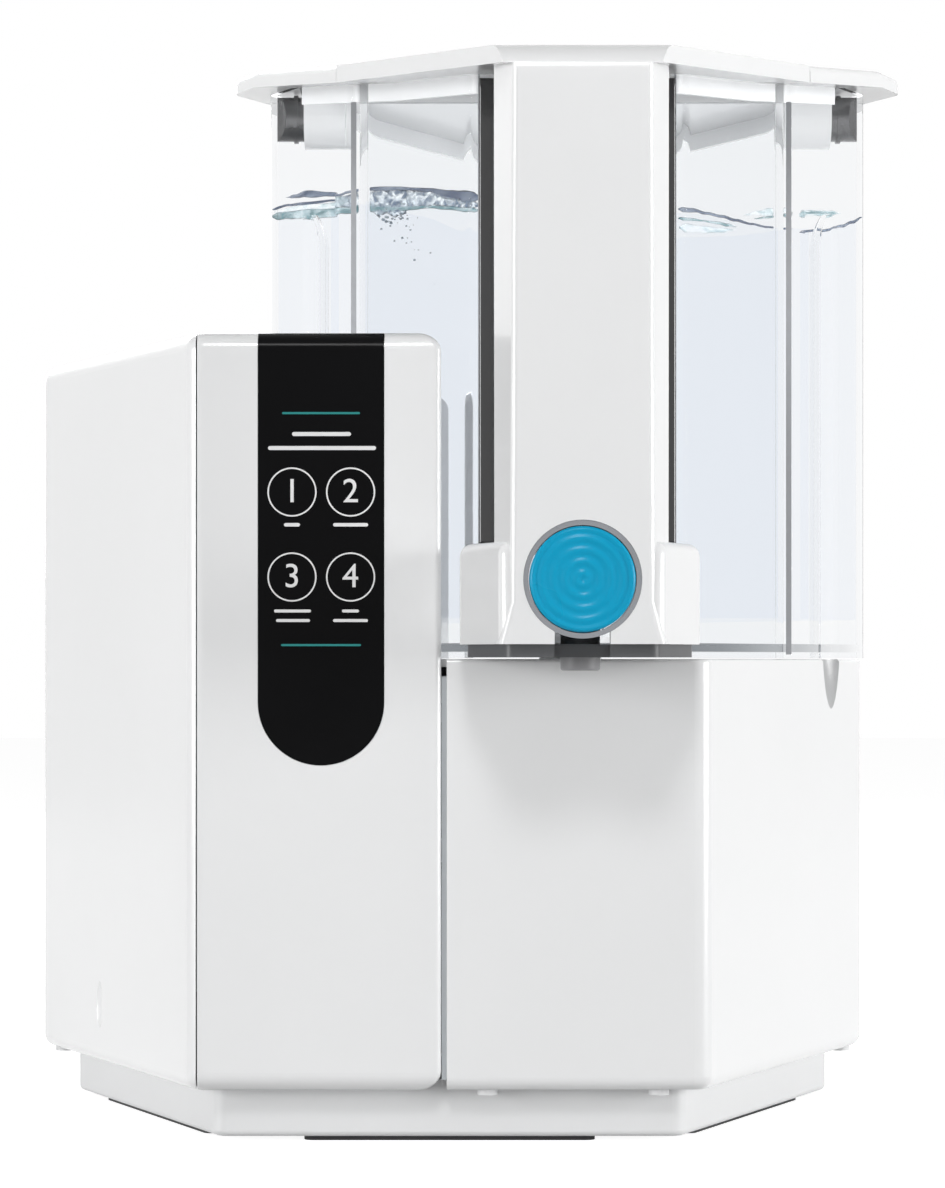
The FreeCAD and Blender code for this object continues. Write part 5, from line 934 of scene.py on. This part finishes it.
def wavePaths(name, keys, w):
    # points of a wave line on each tank, in tank measures, cut in two where it crosses the tanks' seam
    inset = wallInset + w["inset"]
    seamHalf = water["halfSeam"] + inset
    paths = {"clean_tank_unit": [], "tap_tank_unit": []}
    first, last = keys[0][0], keys[-1][0]
    for step in range(int(last - first) + 1):
        pixel = first + step
        upper = alongKeys([(key[0], key[1]) for key in keys], pixel)
        lower = alongKeys([(key[0], key[2]) for key in keys], pixel)
        ends = min(1.0, (step + 0.6) / w["taper"], (last - pixel + 0.6) / w["taper"])
        ripple = noise.noise(Vector((pixel * w["rippleScale"], len(name), 0)))
        middle = (upper + lower) / 2 + w["ripplePixels"] * ripple
        share = w["endShare"] + (1 - w["endShare"]) * ends
        half = (lower - upper) / 2 * share * (1 + w["rippleShare"] * ripple)
        x, y, z = onWall(pixel, middle, inset)
        tall = half * (water["middleY"] + y - camera["place"][1]) / camera["focalPixels"]
        if y < water["seam"] - seamHalf:
            paths["clean_tank_unit"].append((x, y, z, tall))
        elif y > water["seam"] + seamHalf:
            dent = w["fluteDepth"] * max(0.0, 1 - abs(y - w["fluteY"]) / w["fluteHalf"])
            paths["tap_tank_unit"].append((x - math.copysign(dent, x), y, z, tall))
    return paths


def waveLine(name, keys, material, w):
    # lens-shaped strips on the inside of the front walls, which carry the painted reflection and shade of
    # the water's surface line
    section = w["section"]
    for body, path in wavePaths(name, keys, w).items():
        count = len(path)
        if count < 3:
            continue
        points, faces = [], []
        for index, (x, y, z, tall) in enumerate(path):
            before, after = path[max(index - 1, 0)], path[min(index + 1, count - 1)]
            along = Vector((after[0] - before[0], after[1] - before[1], 0)).normalized()
            inward = Vector((-along.y, along.x, 0))
            for turn in range(section):
                angle = 2 * math.pi * turn / section
                side = inward * (w["thick"] * math.cos(angle))
                place = (water["tankX"] + x + side.x, water["middleY"] + y + side.y)
                points.append(place + (z + tall * math.sin(angle),))
        for index in range(count - 1):
            here, there = index * section, (index + 1) * section
            for turn in range(section):
                after = (turn + 1) % section
                faces.append((here + turn, there + turn, there + after, here + after))
        faces.append(tuple(range(section)))
        faces.append(tuple(range(count * section - 1, (count - 1) * section - 1, -1)))
        newPiece(name + body.split("_")[0].capitalize(), points, faces, material, body)


bubbles = {
    "foam": 150,
    "foamPixels": (360, 412),
    "foamMiddle": 392,
    "foamReach": 34,
    "foamTop": 198,
    "foamBottom": 206,
    "foamSink": 19,
    # pixel across and down of the bubbles that sink deeper
    "loose": [(383, 229), (370, 243), (366, 250), (356, 252), (377, 235), (376, 256), (370, 264),
              (396, 241), (404, 238), (408, 243), (413, 242), (409, 238), (384, 249), (412, 230),
              (415, 225), (408, 226), (411, 227), (409, 219), (419, 218), (416, 250), (420, 250),
              (432, 253), (416, 260), (436, 284), (392, 226), (399, 223), (388, 221), (376, 222)],
    "looseSize": 0.9,
    "behindWall": (0.0022, 0.006),
    "fromSeam": 0.005,
    "radii": (0.00018, 0.00062),
}


def makeBubbles(b):
    # small air bubbles under the surface behind the left front wall; their grey-blue is painted reflection
    shape = bmesh.new()
    spots = list(b["loose"])
    for _ in range(b["foam"]):
        pixel = random.uniform(*b["foamPixels"])
        sink = 1 - abs(pixel - b["foamMiddle"]) / b["foamReach"]
        bottom = b["foamBottom"] + b["foamSink"] * max(sink, 0.1)
        spots.append((pixel, random.uniform(b["foamTop"], bottom)))
    for index, (pixelX, pixelY) in enumerate(spots):
        x, y, z = onWall(pixelX, pixelY, wallInset + random.uniform(*b["behindWall"]))
        if y > water["seam"] - b["fromSeam"]:
            continue
        share = b["looseSize"] if index < len(b["loose"]) else 1.0
        size = random.uniform(*b["radii"]) * share
        ball = bmesh.ops.create_icosphere(shape, subdivisions=2, radius=size)
        flatter = 0.8 + 0.3 * noise.noise(Vector((index * 3.1, 0, 0)))
        for vert in ball["verts"]:
            vert.co.z *= flatter
            vert.co += Vector((water["tankX"] + x, water["middleY"] + y, z))
    mesh = bpy.data.meshes.new("waterBubbles")
    shape.to_mesh(mesh)
    shape.free()
    for face in mesh.polygons:
        face.use_smooth = True
    mesh.materials.append(paintedStreaks["bubbleGrey"])
    piece = bpy.data.objects.new("waterBubbles", mesh)
    scene.collection.objects.link(piece)
    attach(piece, "clean_tank_unit")


# painted shade: thin grey lines on the tap tank's front corners, and inside the clean tank's front corners,
# where the clear corners look dark
tankLines = {
    "seamWide": 0.0018,
    "seamBehind": -0.0004,
    "seamInside": 0.001,
    "seamLow": 0.1535,
    "cornerWide": 0.0006,
    "cornerBehind": 0.0001,
    "cornerInside": 0.0016,
    "deep": 0.0003,
    "top": 0.3375,
}


def tankLine(name, x, y, low, wide, body):
    high = (x + wide, y + tankLines["deep"], tankLines["top"])
    boxPiece(name, (x, y, low), high, finishes["cornerShadeGrey"], body)


def makeTankLines(m):
    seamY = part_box("tap_tank")[0].y + m["seamBehind"]
    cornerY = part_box("clean_tank")[0].y + water["wall"] + m["cornerBehind"]
    seamX = halfWidth(seamY - water["middleY"], 0) - m["seamInside"]
    cornerX = halfWidth(cornerY - water["middleY"], water["wall"]) - m["cornerInside"]
    for side, word in [(-1, "Left"), (1, "Right")]:
        seam = water["tankX"] + side * seamX - m["seamWide"] / 2
        corner = water["tankX"] + side * cornerX - m["cornerWide"] / 2
        tankLine("seamLine" + word, seam, seamY, m["seamLow"], m["seamWide"], "tap_tank_unit")
        tankLine("cornerLine" + word, corner, cornerY, water["floor"], m["cornerWide"], "clean_tank_unit")


makeTankLines(tankLines)

shore = []
for pixelX, pixelY in water["shoreline"]:
    x, y, z = onWall(pixelX, pixelY, wallInset)
    shore.append((x, z))
waterBody("cleanWater", cleanRing(wallInset), shore, "clean_tank_unit")
waterBody("tapWater", tapRing(wallInset), shore, "tap_tank_unit")
for label, (finish, keys) in waves.items():
    waveLine(label, keys, paintedStreaks[finish], waveLook)
makeBubbles(bubbles)
print("water done")
